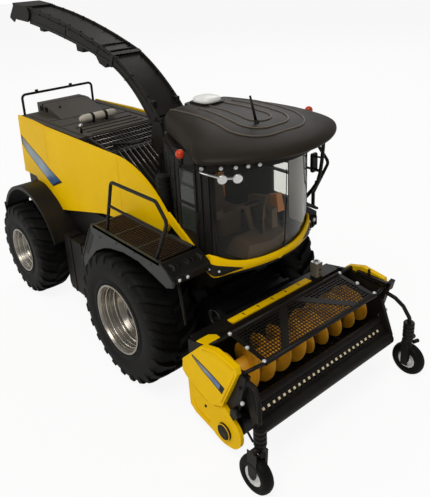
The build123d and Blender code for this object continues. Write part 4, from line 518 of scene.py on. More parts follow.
# Gauge wheels: a rounded tyre with a silver ring and a recessed hub, as (y, r) from the middle
GAUGE_R, GAUGE_X, GAUGE_Y = 7.8, 88.5, 49.1
GAUGE_TYRE = [(1.7, 4.15), (2.2, 4.3), (2.46, 5.0), (2.5, 5.9), (2.3, 6.7), (1.8, 7.3), (1.0, 7.65), (0.0, 7.8)]
GAUGE_RIM = [(1.75, 4.16), (1.95, 4.0), (1.9, 3.2), (1.3, 2.9), (1.2, 2.2), (1.75, 1.9), (1.75, 1.06)]
for word, side in SIDES:
    shape = Shape()
    centre = (GAUGE_X, side * GAUGE_Y, GAUGE_R)
    shape.lathe(centre, GAUGE_TYRE + [(-y, r) for y, r in reversed(GAUGE_TYRE[:-1])], 64)
    shape.lathe(centre, GAUGE_RIM + [(-y, r) for y, r in reversed(GAUGE_RIM)], 48, 1)
    place(f"gauge_wheel_smooth_{word}", shape, f"support_wheel_{word}", [rubber, silver],
          (f"gauge_wheel_{word}",))


# Roof: the sections of the solid, smoothed, with three U-shaped beads, the white dome and the aerial. The beads
# are lighter than the roof as a painted highlight, with black lines inside them as painted shade
CAB_TOP = 114.5
ROOF = (  # height above the cab, rear x and y, side x and y, wing x and y, nose x
    (0.0, 0.5, 15.5, 34.0, 29.0, 47.5, 35.5, 65.0), (1.2, 0.0, 16.2, 35.0, 30.2, 50.0, 37.6, 68.5),
    (2.8, 0.0, 16.5, 35.5, 30.5, 50.5, 38.3, 68.9), (5.0, 0.0, 16.6, 34.5, 29.8, 48.0, 35.8, 66.0),
    (7.6, 0.4, 16.4, 32.0, 27.4, 43.0, 30.0, 58.5), (9.6, 2.0, 15.4, 29.0, 23.6, 38.0, 24.0, 50.0),
    (11.0, 5.0, 13.0, 26.0, 18.0, 33.0, 17.0, 40.0), (11.7, 9.0, 10.0, 22.0, 12.0, 27.0, 11.0, 31.0),
    (11.8, 12.0, 4.0, 18.0, 5.0, 22.0, 4.5, 26.0),
)
ROOF_STEPS, NOSE_STEPS, SIDE_STEPS, WING_STEPS, REAR_STEPS, ROOF_ROUNDS = 6, 22, 16, 8, 8, 3
WING_BACK, WING_IN = 3.0, 0.6


def roof_ring(row):
    """One level ring of the roof: straight rear and sides, a bow for the nose, its corners rounded."""
    height, rear_x, rear_y, side_x, side_y, wing_x, wing_y, nose_x = row
    half = run_between((rear_x, 0), (rear_x, rear_y), REAR_STEPS)
    half += run_between((rear_x, rear_y), (side_x, side_y), SIDE_STEPS)
    half += run_between((side_x, side_y), (wing_x - WING_BACK, wing_y), WING_STEPS)
    half += [(wing_x - WING_BACK, wing_y)]
    depth, tip_y = max(nose_x - wing_x, 0.5), wing_y - WING_IN
    bow = (tip_y ** 2 + depth ** 2) / (2 * depth)
    reach = atan2(tip_y, bow - depth)
    for k in range(NOSE_STEPS + 1):
        turn = reach * (1 - k / NOSE_STEPS)
        half.append((nose_x - bow + bow * cos(turn), bow * sin(turn)))
    points = half + [(x, -y) for x, y in reversed(half[1:-1])]
    for _ in range(ROOF_ROUNDS):
        points = [
            tuple(0.25 * points[i - 1][k] + 0.5 * points[i][k] + 0.25 * points[(i + 1) % len(points)][k]
                  for k in (0, 1))
            for i in range(len(points))
        ]
    return [(x, y, CAB_TOP + height) for x, y in points]


roof = Shape()
rings = [roof_ring(row) for row in eased(ROOF, ROOF_STEPS)]
roof.rows(rings, 0, True, around=True)
roof.cap(rings[-1], 0, True)
roof.cap(rings[0])
roof_thing = place("roof_shell", roof, "chassis", [roof_grey], ("cab_roof",))


def roof_height(x, y):
    """The layout height of the roof's upper face over a point, or None beside it."""
    hit, where, _, _ = roof_thing.ray_cast(at(x, y, 200.0), Vector((0, 0, -1)))
    return where.z / MM if hit else None


def on_roof(path, lift):
    """A path of (x, y) points laid on the roof."""
    found = [(x, y, roof_height(x, y)) for x, y in path]
    return [(x, y, z + lift) for x, y, z in found if z is not None]


ROOF_BEADS = (  # front x, half width, corner radius, rear x, rear half width
    (58.0, 18.5, 13.0, 3.0, 14.5), (53.0, 12.0, 9.0, 17.0, 9.5), (47.5, 5.8, 5.4, 17.5, 4.0),
)
BEAD_R, SHADE_LINE_R, SHADE_LINE_IN = 0.42, 0.26, 0.75
beads = Shape()
for front, half, corner, rear, rear_half in ROOF_BEADS:
    path = run_between((rear, -rear_half), (front - corner, -half), 22)
    for k in range(15):
        turn = pi / 2 * k / 14
        path.append((front - corner + corner * sin(turn), -(half - corner) - corner * cos(turn)))
    path += [(x, -y) for x, y in reversed(path)]
    # Each bead in a lighter grey as a painted highlight, and a black line just inside it as painted shade.
    beads.tube(on_roof(path, 0.05), BEAD_R, 8)
    shade_line = [(x - SHADE_LINE_IN if abs(y) < half - corner else x, y * (1 - SHADE_LINE_IN / half)) for x, y in path]
    beads.tube(on_roof(shade_line, -0.12), SHADE_LINE_R, 6, mark=1)
place("roof_beads", beads, "chassis", [lit_bead_grey, black])

DOME_X, DOME_FOOT = 11.0, CAB_TOP + 11.7
DOME_HALF_X, DOME_HALF_Y = 5.7, 5.3
DOME = ((0.97, 0.7), (1.0, 1.0), (0.98, 1.7), (0.93, 2.3), (0.84, 2.75), (0.6, 3.0), (0.3, 3.1))
base = Shape()
for half_x, half_y, low, high in ((8.0, 8.2, -2.4, 0.0), (6.4, 6.0, 0.0, 0.8)):
    rows = [squarish(DOME_X, 0, half_x - inset, half_y - inset, DOME_FOOT + z, 5.0)
            for inset, z in ((0.0, low), (0.0, high - 0.2), (0.25, high))]
    base.rows(rows, 0, False, around=True)
    base.cap(rows[-1])
place("dome_base", base, "chassis", [black])
dome = Shape()
rows = [squarish(DOME_X, 0, DOME_HALF_X * wide, DOME_HALF_Y * wide, DOME_FOOT + z, 3.4) for wide, z in DOME]
dome.rows(rows, 0, True, around=True)
dome.cap(rows[-1], 0, True)
place("roof_dome", dome, "chassis", [white])
aerial = Shape()
aerial.tube([(48.0, -5.0, 121.8), (47.0, -5.0, 124.8), (46.9, -5.0, 125.4)], [1.2, 1.0, 0.6], 12)
aerial.tube([(46.9, -5.0, 124.2), (43.6, -5.0, CAB_TOP + 20.1)], [0.62, 0.42], 8)
aerial.dot((50.0, -9.0, roof_height(50.0, -9.0)), (0.2, 0, 1), 0.7, 0.5)
place("roof_aerial", aerial, "chassis", [black])


# Stripes on the side panels and the header's shields: bands of grey and blue with a dark edge
PANEL_STRIPE = (  # x and z of the upper edge, x and z of the lower edge, from the tip to the wide end
    (-138.3, 89.6, -138.4, 83.4), (-130.5, 87.2, -131.8, 79.9), (-122.9, 85.0, -123.9, 76.9),
    (-111.4, 82.0, -113.3, 73.2), (-99.2, 78.4, -103.0, 69.9), (-90.5, 75.5, -98.8, 68.5),
    (-82.6, 72.8, -95.2, 67.3),
)
SHIELD_STRIPE = (
    (50.0, 38.9, 50.3, 37.9), (52.6, 38.3, 53.4, 35.9), (56.0, 37.5, 56.5, 34.2), (61.5, 36.1, 61.3, 32.5),
    (69.6, 33.5, 67.8, 29.7),
)
PANEL_Y, PANEL_BEND_X, PANEL_REAR_IN, PANEL_REAR_RUN = 30.0, -97.0, 3.0, 41.5
SHIELD_Y = 46.6
STRIPE_LIFT, STRIPE_EDGE = 0.05, 0.55


def panel_y(x):
    return PANEL_Y - max(0.0, PANEL_BEND_X - x) * PANEL_REAR_IN / PANEL_REAR_RUN


def stripe(table, y_of):
    """A stripe in one sheet over a dark edge sheet, lying on a side face."""
    shape = Shape()
    for mark, inset, out in ((1, 0.0, STRIPE_LIFT), (0, STRIPE_EDGE, STRIPE_LIFT * 2)):
        rows = []
        for x0, z0, x1, z1 in eased(table, 3):
            cut = min(inset / hypot(x1 - x0, z1 - z0), 0.3)
            upper = (x0 + (x1 - x0) * cut, z0 + (z1 - z0) * cut)
            lower = (x1 + (x0 - x1) * cut, z1 + (z0 - z1) * cut)
            rows.append([(x, -y_of(x) - out, z) for x, z in (upper, lower)])
        shape.rows(rows[1:-1] if inset else rows, mark, True)
    return shape


for name, table, y_of, body, paint in (
        ("panel_stripe", PANEL_STRIPE, panel_y, "chassis", stripe_paint),
        ("shield_stripe", SHIELD_STRIPE, lambda x: SHIELD_Y, "header", shield_paint)):
    right = stripe(table, y_of)
    place(f"{name}_right", right, body, [paint, black])
    place(f"{name}_left", right.mirrored(), body, [paint, black])


# Header: the etched net with its braces and rivets
NET_REAR, NET_FRONT, NET_HALF = (59.0, 46.2), (78.8, 43.6), 34.1
NET_PITCH, NET_BAR, NET_THIN, NET_UP = 1.5, 0.32, 0.16, (0.13, 0, 1)
NET_EDGE = NET_HALF - 0.9
NET_FEET = ((59.0, 46.2, 58.6, 45.8), (78.8, 43.6, 77.6, 43.6))  # x and z at the net, x and z at the shield


def net_point(share, y):
    (rear_x, rear_z), (front_x, front_z) = NET_REAR, NET_FRONT
    return (rear_x + (front_x - rear_x) * share, y, rear_z + (front_z - rear_z) * share)


def net_bar(shape, a, b, half_width, lift=0.0):
    """Flat bar on the net's plane, from (share, y) to (share, y)."""
    p, q = Vector(net_point(*a)), Vector(net_point(*b))
    side = (q - p).cross(Vector(NET_UP)).normalized() * half_width
    low, high = ([tuple(v + Vector((0, 0, z))) for v in (p - side, q - side, q + side, p + side)]
                 for z in (lift - NET_THIN, lift + NET_THIN))
    shape.prism(low, high)


net = Shape()
for y in spaced(-NET_HALF, NET_HALF, NET_PITCH):
    net_bar(net, (0.0, y), (1.0, y), NET_BAR / 2)
for share in spaced(0.0, 1.0, NET_PITCH / hypot(NET_FRONT[0] - NET_REAR[0], NET_FRONT[1] - NET_REAR[1])):
    net_bar(net, (share, -NET_HALF), (share, NET_HALF), NET_BAR / 2)
for side in (-1, 1):
    net_bar(net, (0.0, side * 3.2), (1.0, side * 23.0), 1.7, 0.15)
    net_bar(net, (0.0, side * NET_EDGE), (1.0, side * NET_EDGE), 1.1, 0.2)
    for x, z, foot_x, foot_z in NET_FEET:
        net.tube([(x, side * 33.0, z), (foot_x, side * 43.8, foot_z)], 0.8)
    for share in (0.02, 0.52, 0.98):
        x, y, z = net_point(share, side * NET_HALF)
        net.dot((x, y, z + 0.6), NET_UP, 0.85, 0.7, 1, 14)
for x, z in (NET_REAR, NET_FRONT):
    net.tube([(x, -NET_HALF, z), (x, NET_HALF, z)], 1.0, 14)
place("guard_net", net, "header", [black, silver], ("mesh_guard",))


# Header: helical flights on the feed auger, wound inwards from both ends
AUGER_X, AUGER_Z, AUGER_R, AUGER_CORE, AUGER_HALF = 62.0, 30.0, 9.6, 4.0, 42.3
AUGER_TURNS, AUGER_STEPS, FLIGHT_T, FLIGHT_GAP = 4.5, 40, 0.7, 0.4
FLIGHT = (  # y and r of the flight's section
    (-FLIGHT_T / 2, AUGER_CORE - 0.3), (-FLIGHT_T / 2, AUGER_R - 0.25), (0.0, AUGER_R),
    (FLIGHT_T / 2, AUGER_R - 0.25), (FLIGHT_T / 2, AUGER_CORE - 0.3),
)
screw = Shape()
count = int(AUGER_TURNS * AUGER_STEPS)
for side in (-1, 1):
    rows = []
    for i in range(count + 1):
        y = side * (FLIGHT_GAP + (AUGER_HALF - FLIGHT_GAP - FLIGHT_T) * i / count)
        turn = 2 * pi * AUGER_TURNS * i / count
        rows.append([(AUGER_X + r * sin(turn), y + across, AUGER_Z + r * cos(turn)) for across, r in FLIGHT])
    screw.rows(rows, 0, True)
core = [(-AUGER_HALF, 0.6), (-AUGER_HALF, 3.4), (-AUGER_HALF + 0.6, AUGER_CORE), (AUGER_HALF - 0.6, AUGER_CORE),
        (AUGER_HALF, 3.4), (AUGER_HALF, 0.6)]
screw.lathe((AUGER_X, 0, AUGER_Z), core, 40)
place("auger_screw", screw, "feed_auger", [orange], ("auger",))


# Platforms: brown mesh in a frame, the thin arch band under its edge and the nose with its lamps
OUTER, INNER, NOSE_INNER = -49.0, -30.5, -29.4
DECK_REAR, DECK_FRONT, DECK_LOW, DECK_HIGH = -16.0, 36.0, 73.6, 75.0
MESH_PITCH, MESH_BAR = 1.45, 0.5
ARCH_T, ARCH_FIRST = 1.2, 8
ARCH_BAND = (
    (-31.0, 46.0), (-31.0, 52.0), (-19.5, 71.0), (-17.0, 75.0), (36.0, 75.0), (40.5, 72.6), (44.0, 69.5),
    (44.0, 67.0), (40.0, 65.6), (31.3, 68.0), (20.8, 70.4), (9.0, 70.3), (-1.9, 68.3), (-8.0, 66.2),
    (-15.5, 62.2), (-23.0, 55.0), (-26.6, 50.0), (-28.0, 46.0),
)
NOSE = ((34.0, 75.0), (37.0, 75.0), (43.6, 71.4), (44.0, 70.2), (43.4, 67.4), (40.4, 65.6), (39.6, 67.6),
        (34.0, 71.6))
NOSE_RIBS, NOSE_RIB_PITCH, NOSE_RIB_FIRST = 7, 2.55, -46.8
NOSE_LAMP_Y, NOSE_LAMP_Z, NOSE_STRUT_Y = (-45.6, -41.6), 69.4, -44.0
NOSE_WEBS, BAND_RIVETS = (-46.0, -39.0, -32.0), ((-10.0, 70.6), (4.0, 72.6), (18.0, 73.0), (30.0, 72.4))
BAND_REAR_EDGE = ((-18.8, 72.0), (-30.4, 52.2), (-30.5, 47.0))
BAND_SLOT = ((-18.2, 70.6), (-16.2, 68.8), (-23.6, 57.2), (-25.4, 57.2), (-25.6, 59.4))
DECK_BARS = (  # two corners of each
    ((DECK_REAR, OUTER, DECK_LOW), (DECK_FRONT, OUTER + 1.3, 75.1)),
    ((DECK_REAR, INNER - 1.0, 73.8), (DECK_FRONT, INNER, DECK_HIGH)),
    ((DECK_REAR, OUTER, DECK_LOW), (DECK_REAR + 1.2, INNER, DECK_HIGH)),
    ((DECK_FRONT - 1.2, OUTER, DECK_LOW), (DECK_FRONT, NOSE_INNER, DECK_HIGH)),
    ((0.5, OUTER, 73.7), (1.3, INNER, 74.9)), ((18.0, OUTER, 73.7), (18.8, INNER, 74.9)),
    ((17.5, INNER, 73.4), (DECK_FRONT, -29.3, 74.9)),
)
platform_finish = [brown, apron_grey, black, silver]
platform = Shape()
for corner, other in DECK_BARS:
    platform.box(corner, other, 1)
for x in spaced(DECK_REAR, DECK_FRONT, MESH_PITCH):
    platform.box((x - MESH_BAR / 2, OUTER + 0.6, 74.1), (x + MESH_BAR / 2, INNER - 0.4, 74.7))
for y in spaced(OUTER, INNER, MESH_PITCH):
    platform.box((DECK_REAR + 0.6, y - MESH_BAR / 2, 74.0), (DECK_FRONT - 0.6, y + MESH_BAR / 2, 74.6))
platform.plate(ARCH_BAND, OUTER, OUTER + ARCH_T, 1)
arch = ARCH_BAND[ARCH_FIRST:]
platform.tube([(x, OUTER + 0.35, z - 0.1) for x, z in arch], 0.42, 8, 1)
platform.rows([[(x, OUTER + ARCH_T * 0.6 + y, z + 0.25) for x, z in arch] for y in (0.0, 5.0, 17.5)], 1, True)
for y in NOSE_WEBS:
    platform.box((34.0, y - 0.6, 70.6), (41.5, y + 0.6, 74.2), 1)
platform.plate(NOSE, OUTER + 0.6, NOSE_INNER, 2)
for i in range(NOSE_RIBS):
    y = NOSE_RIB_FIRST + i * NOSE_RIB_PITCH
    platform.box((37.4, y - 0.35, 70.0), (41.6, y + 0.35, 74.2), 2)
for y in NOSE_LAMP_Y:
    platform.turned((43.0, y, NOSE_LAMP_Z), FORWARD, ((0.0, 1.7), (1.4, 1.5)), 18, 2)
    platform.turned((44.0, y, NOSE_LAMP_Z), FORWARD, ((0.0, 0.8), (0.5, 0.75), (0.8, 0.4)), 18, 3)
platform.tube([(x, NOSE_STRUT_Y, z) for x, z in ((41.0, 66.6), (42.6, 57.0), (44.2, 48.2))], 0.62, 10, 2)
for x, z in BAND_RIVETS:
    platform.dot((x, OUTER - 0.05, z), (0, -1, 0), 0.5, 0.3, 1)
platform.plate(BAND_SLOT, OUTER - 0.12, OUTER + 0.1, 2)
platform.tube([(x, OUTER - 0.1, z) for x, z in BAND_REAR_EDGE], 0.4, 8, 1)
place("platform_mesh_right", platform, "chassis", platform_finish, ("platform_right",))

# The left one slopes down to its outer edge and has a short nose
FAR_FRONT, FAR_THICK = 33.4, 1.2
SLOPE = ((30.5, 75.0), (36.6, 75.0), (41.0, 72.6), (45.6, 69.8), (49.0, 67.4))  # y and z
FAR_BAND = ((-31.0, 46.0), (-31.0, 52.0), (-19.5, 67.0), (-16.0, 67.6), (33.4, 67.6), (33.4, 66.6),
            (-1.9, 66.7), (-8.0, 65.6), (-15.5, 62.2), (-23.0, 55.0), (-26.6, 50.0), (-28.0, 46.0))
FAR_NOSE = ((29.4, 74.6), (34.0, 74.6), (40.4, 70.6), (40.4, 64.0), (38.0, 62.8), (29.4, 62.8))  # y and z
FAR_NOSE_IN, FAR_NOSE_TAPER = 29.4, 0.92
FAR_RIBS, FAR_RIB_FIRST, FAR_RIB_PITCH, FAR_LAMP_Y, FAR_LAMP_Z = 5, 30.4, 1.9, (32.6, 36.2), 67.6
RAIL_FEET_X, RAIL_Y = (-6.0, 32.0), 47.0
narrow = Shape()
narrow.rows([[(x, y, z - FAR_THICK) for y, z in SLOPE] for x in (DECK_REAR, FAR_FRONT)], 1, True)
ends = list(SLOPE) + [(y, z - FAR_THICK) for y, z in reversed(SLOPE)]
for x in (DECK_REAR, FAR_FRONT - FAR_THICK, 0.5, 18.0):
    narrow.section(ends, x, x + FAR_THICK, 1)
for y, z in SLOPE:
    narrow.tube([(DECK_REAR, y, z - 0.5), (FAR_FRONT, y, z - 0.5)], 0.55, 8, 1)
for x in spaced(DECK_REAR, FAR_FRONT, MESH_PITCH):
    narrow.section([(y, z - 0.3) for y, z in ends], x - MESH_BAR / 2, x + MESH_BAR / 2)
for (ya, za), (yb, zb) in zip(SLOPE, SLOPE[1:]):
    for k in (0.25, 0.5, 0.75):
        y, z = ya + (yb - ya) * k, za + (zb - za) * k - 0.6
        narrow.tube([(DECK_REAR, y, z), (FAR_FRONT, y, z)], 0.3, 6)
narrow.plate(FAR_BAND, 49.0, 47.8, 1)
narrow.prism([(33.2, y, z) for y, z in FAR_NOSE],
             [(40.6, FAR_NOSE_IN + (y - FAR_NOSE_IN) * FAR_NOSE_TAPER, z) for y, z in FAR_NOSE], 2)
for i in range(FAR_RIBS):
    y = FAR_RIB_FIRST + i * FAR_RIB_PITCH
    narrow.box((40.2, y, 64.2), (41.6, y + 0.7, 70.4 - i * 0.4), 2)
for y in FAR_LAMP_Y:
    narrow.turned((40.4, y, FAR_LAMP_Z), FORWARD, ((0.0, 1.6), (1.5, 1.4)), 18, 2)
    narrow.turned((41.6, y, FAR_LAMP_Z), FORWARD, ((0.0, 0.95), (0.5, 0.9), (0.8, 0.5)), 18, 3)
for x in RAIL_FEET_X:
    narrow.tube([(x, RAIL_Y, 75.8), (x, RAIL_Y, 67.6)], 0.9, 12, 2)
    narrow.dot((x, RAIL_Y, 68.2), (0, 0.5, 1), 1.7, 0.8, 2)
place("platform_mesh_left", narrow, "chassis", platform_finish, ("platform_left",))


# Belt under the windscreen: x, y, low and high edge from the middle round the corner to its tip
BELT = (
    (54.1, 0.0, 65.7, 69.2), (53.6, -7.0, 65.7, 69.2), (52.4, -13.0, 65.6, 69.5), (50.6, -18.5, 65.4, 70.1),
    (48.7, -23.0, 65.0, 71.3), (47.2, -26.0, 64.4, 72.7), (45.9, -28.0, 63.9, 73.8), (44.6, -29.1, 63.8, 74.1),
    (42.6, -29.3, 64.4, 73.8), (40.3, -29.3, 65.8, 72.3), (38.2, -29.3, 67.4, 70.7), (36.6, -29.3, 68.6, 69.5),
)
RECESS_SHADE = (  # the recess in the corner, drawn as a black sheet standing out of the belt as painted shade: the same, from its point to its rounded end
    (50.9, -18.2, 66.6, 67.0), (48.9, -23.0, 65.8, 68.4), (47.4, -26.0, 65.0, 69.2), (46.0, -28.2, 64.7, 69.8),
    (44.7, -29.3, 64.8, 70.2), (42.7, -29.5, 65.3, 70.2), (40.8, -29.5, 66.3, 69.6), (39.6, -29.5, 67.3, 68.7),
)
BELT_SECTION = ((0.1, -1.1), (0.0, -0.35), (0.06, 0.0), (0.5, 0.12), (0.94, 0.0), (1.0, -0.35), (0.9, -1.1))
RECESS_SHADE_SECTION = ((0.0, 0.04), (0.12, 0.18), (0.88, 0.18), (1.0, 0.04))  # share of the height, way out
BOSS_X, BOSS_Z = 53.6, 67.5
SPEAR = ((16.2, 84.4), (24.0, 79.4), (34.6, 72.6), (34.2, 70.9), (24.0, 75.4), (16.2, 79.6))
belt = Shape()
for table, outline, mark in ((BELT, BELT_SECTION, 0), (RECESS_SHADE, RECESS_SHADE_SECTION, 1)):
    rows = []
    for x, y, low, high in eased(table, 4):
        out = Vector((0.9, y / 30, 0)).normalized()
        rows.append([(x + out.x * d, y + out.y * d, low + (high - low) * share) for share, d in outline])
    belt.rows(rows, mark, True)
    if not mark:
        belt.cap(rows[-1])
for centre in ((43.3, -29.75, 67.6), (46.9, -27.6, 67.1)):
    belt.dot(centre, (0.5, -1, 0), 0.55, 0.4, 2, 14)
belt.prism([(x, -28.1, z) for x, z in SPEAR], [(x, -29.2, z - 0.1) for x, z in SPEAR])
belt.join(belt.mirrored())
belt.turned((BOSS_X, 0, BOSS_Z), FORWARD, ((0.0, 1.9), (0.85, 1.7)), 24)
belt.turned((BOSS_X + 0.6, 0, BOSS_Z), FORWARD, ((0.0, 1.25), (0.4, 1.05)), 24)
place("belt_moulding", belt, "chassis", [yellow, black, silver], ("cab_belt",))


# Cab: ribs on the pillars, the slanted rear panes, the side windows, a wiper, what shows inside, and a white
# sheet inside the far wall that is painted light
CAB_RIB_BOXES = (  # two corners of each
    ((35.05, -28.45, 68.0), (35.75, -27.9, 113.6)), ((38.55, -28.45, 68.0), (39.25, -27.9, 113.6)),
    ((43.25, -28.45, 68.0), (43.95, -27.9, 113.6)), ((34.6, -28.35, 67.2), (44.2, -27.95, 68.4)),
    ((23.4, -28.3, 79.2), (34.6, -27.95, 80.0)), ((23.4, -28.3, 106.4), (34.6, -27.95, 107.2)),
)
DOOR_HANDLE = ((-28.6, 86.0), (-29.0, 87.0), (-29.0, 90.0), (-28.6, 91.0))  # y and z
REAR_PANE, PANE_OUT = ((1.4, -17.35), (21.4, -27.55)), (-0.455 * 0.15, -0.890 * 0.15)
PANE_LOW, PANE_HIGH, PANE_POSTS, POST_OUT = 82.5, 111.0, (0.0, 0.52, 1.0), 0.2
trim = Shape()
for corner, other in CAB_RIB_BOXES:
    trim.box(corner, other)
trim.tube([(37.2, y, z) for y, z in DOOR_HANDLE], 0.35, 8)
pane = [(x + PANE_OUT[0], y + PANE_OUT[1]) for x, y in REAR_PANE]
trim.cap([(x, y, PANE_LOW) for x, y in pane] + [(x, y, PANE_HIGH) for x, y in reversed(pane)], 1)
(ax, ay), (bx, by) = REAR_PANE
for share in PANE_POSTS:
    x, y = ax + (bx - ax) * share, ay + (by - ay) * share - POST_OUT
    trim.tube([(x, y, 80.0), (x, y, 112.0)], 0.55, 8)
for z in (82.4, PANE_HIGH):
    trim.tube([(ax, ay - POST_OUT, z), (bx, by - POST_OUT, z)], 0.45, 8)
place("cab_trim_right", trim, "chassis", [black, dark_glass])
place("cab_trim_left", trim.mirrored(), "chassis", [black, dark_glass])

PANE_X, PANE_Y, PANE_ROWS = (24.2, 34.1), (27.0, 27.7), ((80.0, 91.2), (92.4, 106.5))
panes = Shape()
for side, mark in ((-1, 0), (1, 1)):
    for low, high in PANE_ROWS:
        panes.box((PANE_X[0], side * PANE_Y[0], low), (PANE_X[1], side * PANE_Y[1], high), mark)
place("side_panes", panes, "chassis", [side_tint, glass], ("side_glass",))

WHEEL_AT, WHEEL_R, WHEEL_LEAN = (37.4, 0.5, 86.0), 3.6, 1.6
CAB_BLOCKS = (  # lower and upper outline, material: dash, console, pad on the seat's back, box by the dash
    (((36.0, -15.0, 67.1), (48.0, -13.0, 67.1), (50.4, 0.0, 67.1), (48.0, 13.0, 67.1), (36.0, 15.0, 67.1)),
     ((38.5, -12.0, 74.0), (47.0, -11.0, 72.6), (49.2, 0.0, 72.2), (47.0, 11.0, 72.6), (38.5, 12.0, 74.0)), 0),
    (((26.0, 9.0, 74.0), (34.0, 9.0, 74.0), (34.0, 12.5, 74.0), (26.0, 12.5, 74.0)),
     ((26.0, 9.0, 84.0), (37.0, 9.4, 86.0), (37.0, 12.5, 86.0), (26.0, 12.5, 84.0)), 0),
    (((9.5, 3.0, 80.0), (13.0, 3.0, 80.0), (13.0, 7.0, 80.0), (9.5, 7.0, 80.0)),
     ((10.0, 3.4, 98.0), (12.6, 3.4, 98.0), (12.6, 6.6, 98.0), (10.0, 6.6, 98.0)), 1),
    (((33.0, 12.0, 77.0), (41.5, 12.4, 79.0), (41.5, 16.4, 79.0), (33.0, 16.4, 77.0)),
     ((34.0, 12.6, 85.0), (40.0, 12.8, 87.0), (40.0, 16.0, 87.0), (34.0, 16.0, 85.0)), 1),
)
DASH_BLOCK = ((40.0, 6.0, 74.0), (44.0, 9.0, 83.0))
DASH_POST = ((43.0, 1.0, 73.0), (43.6, 1.6, 86.0))
inside = Shape()
for low, high, mark in CAB_BLOCKS:
    inside.prism(low, high, mark)
inside.box(*DASH_BLOCK)
inside.box(*DASH_POST)
x, y, z = WHEEL_AT
inside.tube([(x + WHEEL_R * cos(t), y + WHEEL_R * sin(t), z + WHEEL_LEAN * cos(t))
             for t in (2 * pi * k / 24 for k in range(25))], 0.4, 8, 2)
inside.tube([(43.0, 0.5, 72.6), WHEEL_AT], 0.9, 10, 2)
place("cab_console", inside, "chassis", [seat_cloth, leather, black])

# A white sheet inside the far cab wall: painted light that stands in for the bright background seen through the
# far windows.
FAR_LIGHT_SHEET = ((35.2, 26.0, 70.0), (43.9, 26.3, 110.4))
far_light_sheet = Shape()
far_light_sheet.box(*FAR_LIGHT_SHEET)
place("far_window_painted_light", far_light_sheet, "chassis", [white])

WIPER_ARM = ((53.2, 3.0, 70.4), (53.6, 3.6, 72.0), (53.4, 5.0, 92.0))
WIPER_BLADE = ((53.3, 4.4, 78.0), (53.4, 5.2, 104.0))
wiper = Shape()
wiper.tube(WIPER_ARM, [0.5, 0.35, 0.25], 8)
wiper.tube(WIPER_BLADE, 0.18, 6)
place("screen_wiper", wiper, "chassis", [black])


# Lamps, beacons and mirrors at the visor
LAMP_Y, LAMP_Z, BOW, BOW_X = (15.2, 19.3, 23.3, 27.6, 32.6), 112.6, 42.5, 18.5
LAMP_HOOD = ((BOW - 0.4, 1.35), (BOW + 0.9, 1.35), (BOW + 1.2, 1.2))
LAMP_LENS = ((BOW + 0.8, 0.85), (BOW + 1.22, 0.8), (BOW + 1.3, 0.45))
lamps = Shape()
for across in LAMP_Y:
    for y in (-across, across):
        turn = atan2(y, (BOW ** 2 - y ** 2) ** 0.5)
        for mark, steps in enumerate((LAMP_HOOD, LAMP_LENS)):
            lamps.turned((BOW_X, 0, LAMP_Z), (cos(turn), sin(turn), 0), steps, 20, mark)
place("lamp_row", lamps, "chassis", [black, silver], ("work_lamps",))

BEACON_X, BEACON_Y, BEACON_R = 37.7, 36.4, 1.75
BEACON_FEET = ((-1, 115.5), (1, 118.0))  # side and height; in the photo the left one stands higher
beacons = Shape()
dome_steps = [(BEACON_R * (1 - cos(pi * k / 12)), BEACON_R * sin(pi * k / 12)) for k in range(2, 12)]
for side, low in BEACON_FEET:
    foot = (BEACON_X, side * BEACON_Y, low)
    beacons.turned(foot, UP, [(0.1, 1.2), (0.5, 1.35)] + dome_steps, 24)
    beacons.turned(foot, UP, ((-3.4, 0.9), (0.3, 1.35)), 16, 1)
place("beacon_beads", beacons, "chassis", [bead, black], ("beacons",))

NEAR_ARM = ((45.5, -32.9, 111.8), (47.0, -34.6, 111.8), (48.4, -35.0, 111.8), (59.2, -34.2, 112.0),
            (62.6, -29.9, 112.0))
NEAR_HEADS, NEAR_FACE = ((58.8, -34.2, 112.0), (62.2, -29.9, 112.0)), (1, -0.5, -0.2)
FAR_ROOT, FAR_ARM_Y = ((47.3, 34.6, 111.8), (47.0, 35.8, 109.6)), 36.0
FAR_ARM = ((46.6, 104.0), (46.0, 97.5), (45.2, 92.0), (43.8, 87.1), (40.6, 82.4), (36.6, 77.4))
HEAD_MIDDLE, HEAD_HALF_Y, HEAD_HALF_Z = 96.05, 1.8, 4.5
HEAD = ((-1, -0.85), (-0.8, -1), (0.8, -1), (1, -0.85), (1, 0.85), (0.8, 1), (-0.8, 1), (-1, 0.85))
arms = Shape()
arms.tube(NEAR_ARM, 0.42, 10, 1)
face = Vector(NEAR_FACE).normalized()
for foot in NEAR_HEADS:
    arms.turned(foot, face, ((-0.3, 1.2), (0.2, 1.8), (0.9, 1.85), (1.05, 1.65)), 28, 1)
    arms.turned(foot, face, ((0.98, 1.5), (1.1, 1.45)), 28, 2)
arms.tube(list(FAR_ROOT) + [(x, FAR_ARM_Y, z) for x, z in FAR_ARM], 0.85, 12)
rows = [[(x, FAR_ARM_Y + HEAD_HALF_Y * wide * c, HEAD_MIDDLE + HEAD_HALF_Z * wide * d) for c, d in HEAD]
        for x, wide in ((40.5, 0.8), (40.9, 1.0), (42.0, 1.0), (42.3, 0.9))]
arms.rows(rows, 0, False, around=True)
arms.cap(rows[0], 2)
arms.cap(rows[-1])
arms.tube([(41.6, FAR_ARM_Y, 99.0), (46.0, FAR_ARM_Y, 99.4)], 0.45, 8)
arms.tube([(41.6, FAR_ARM_Y, 93.0), (45.2, FAR_ARM_Y, 93.2)], 0.45, 8)
arms.dot((43.8, 35.3, 87.1), (0, -1, 0), 1.0, 0.6)
place("mirror_arms", arms, "chassis", [black, steel, silver], ("mirrors",))


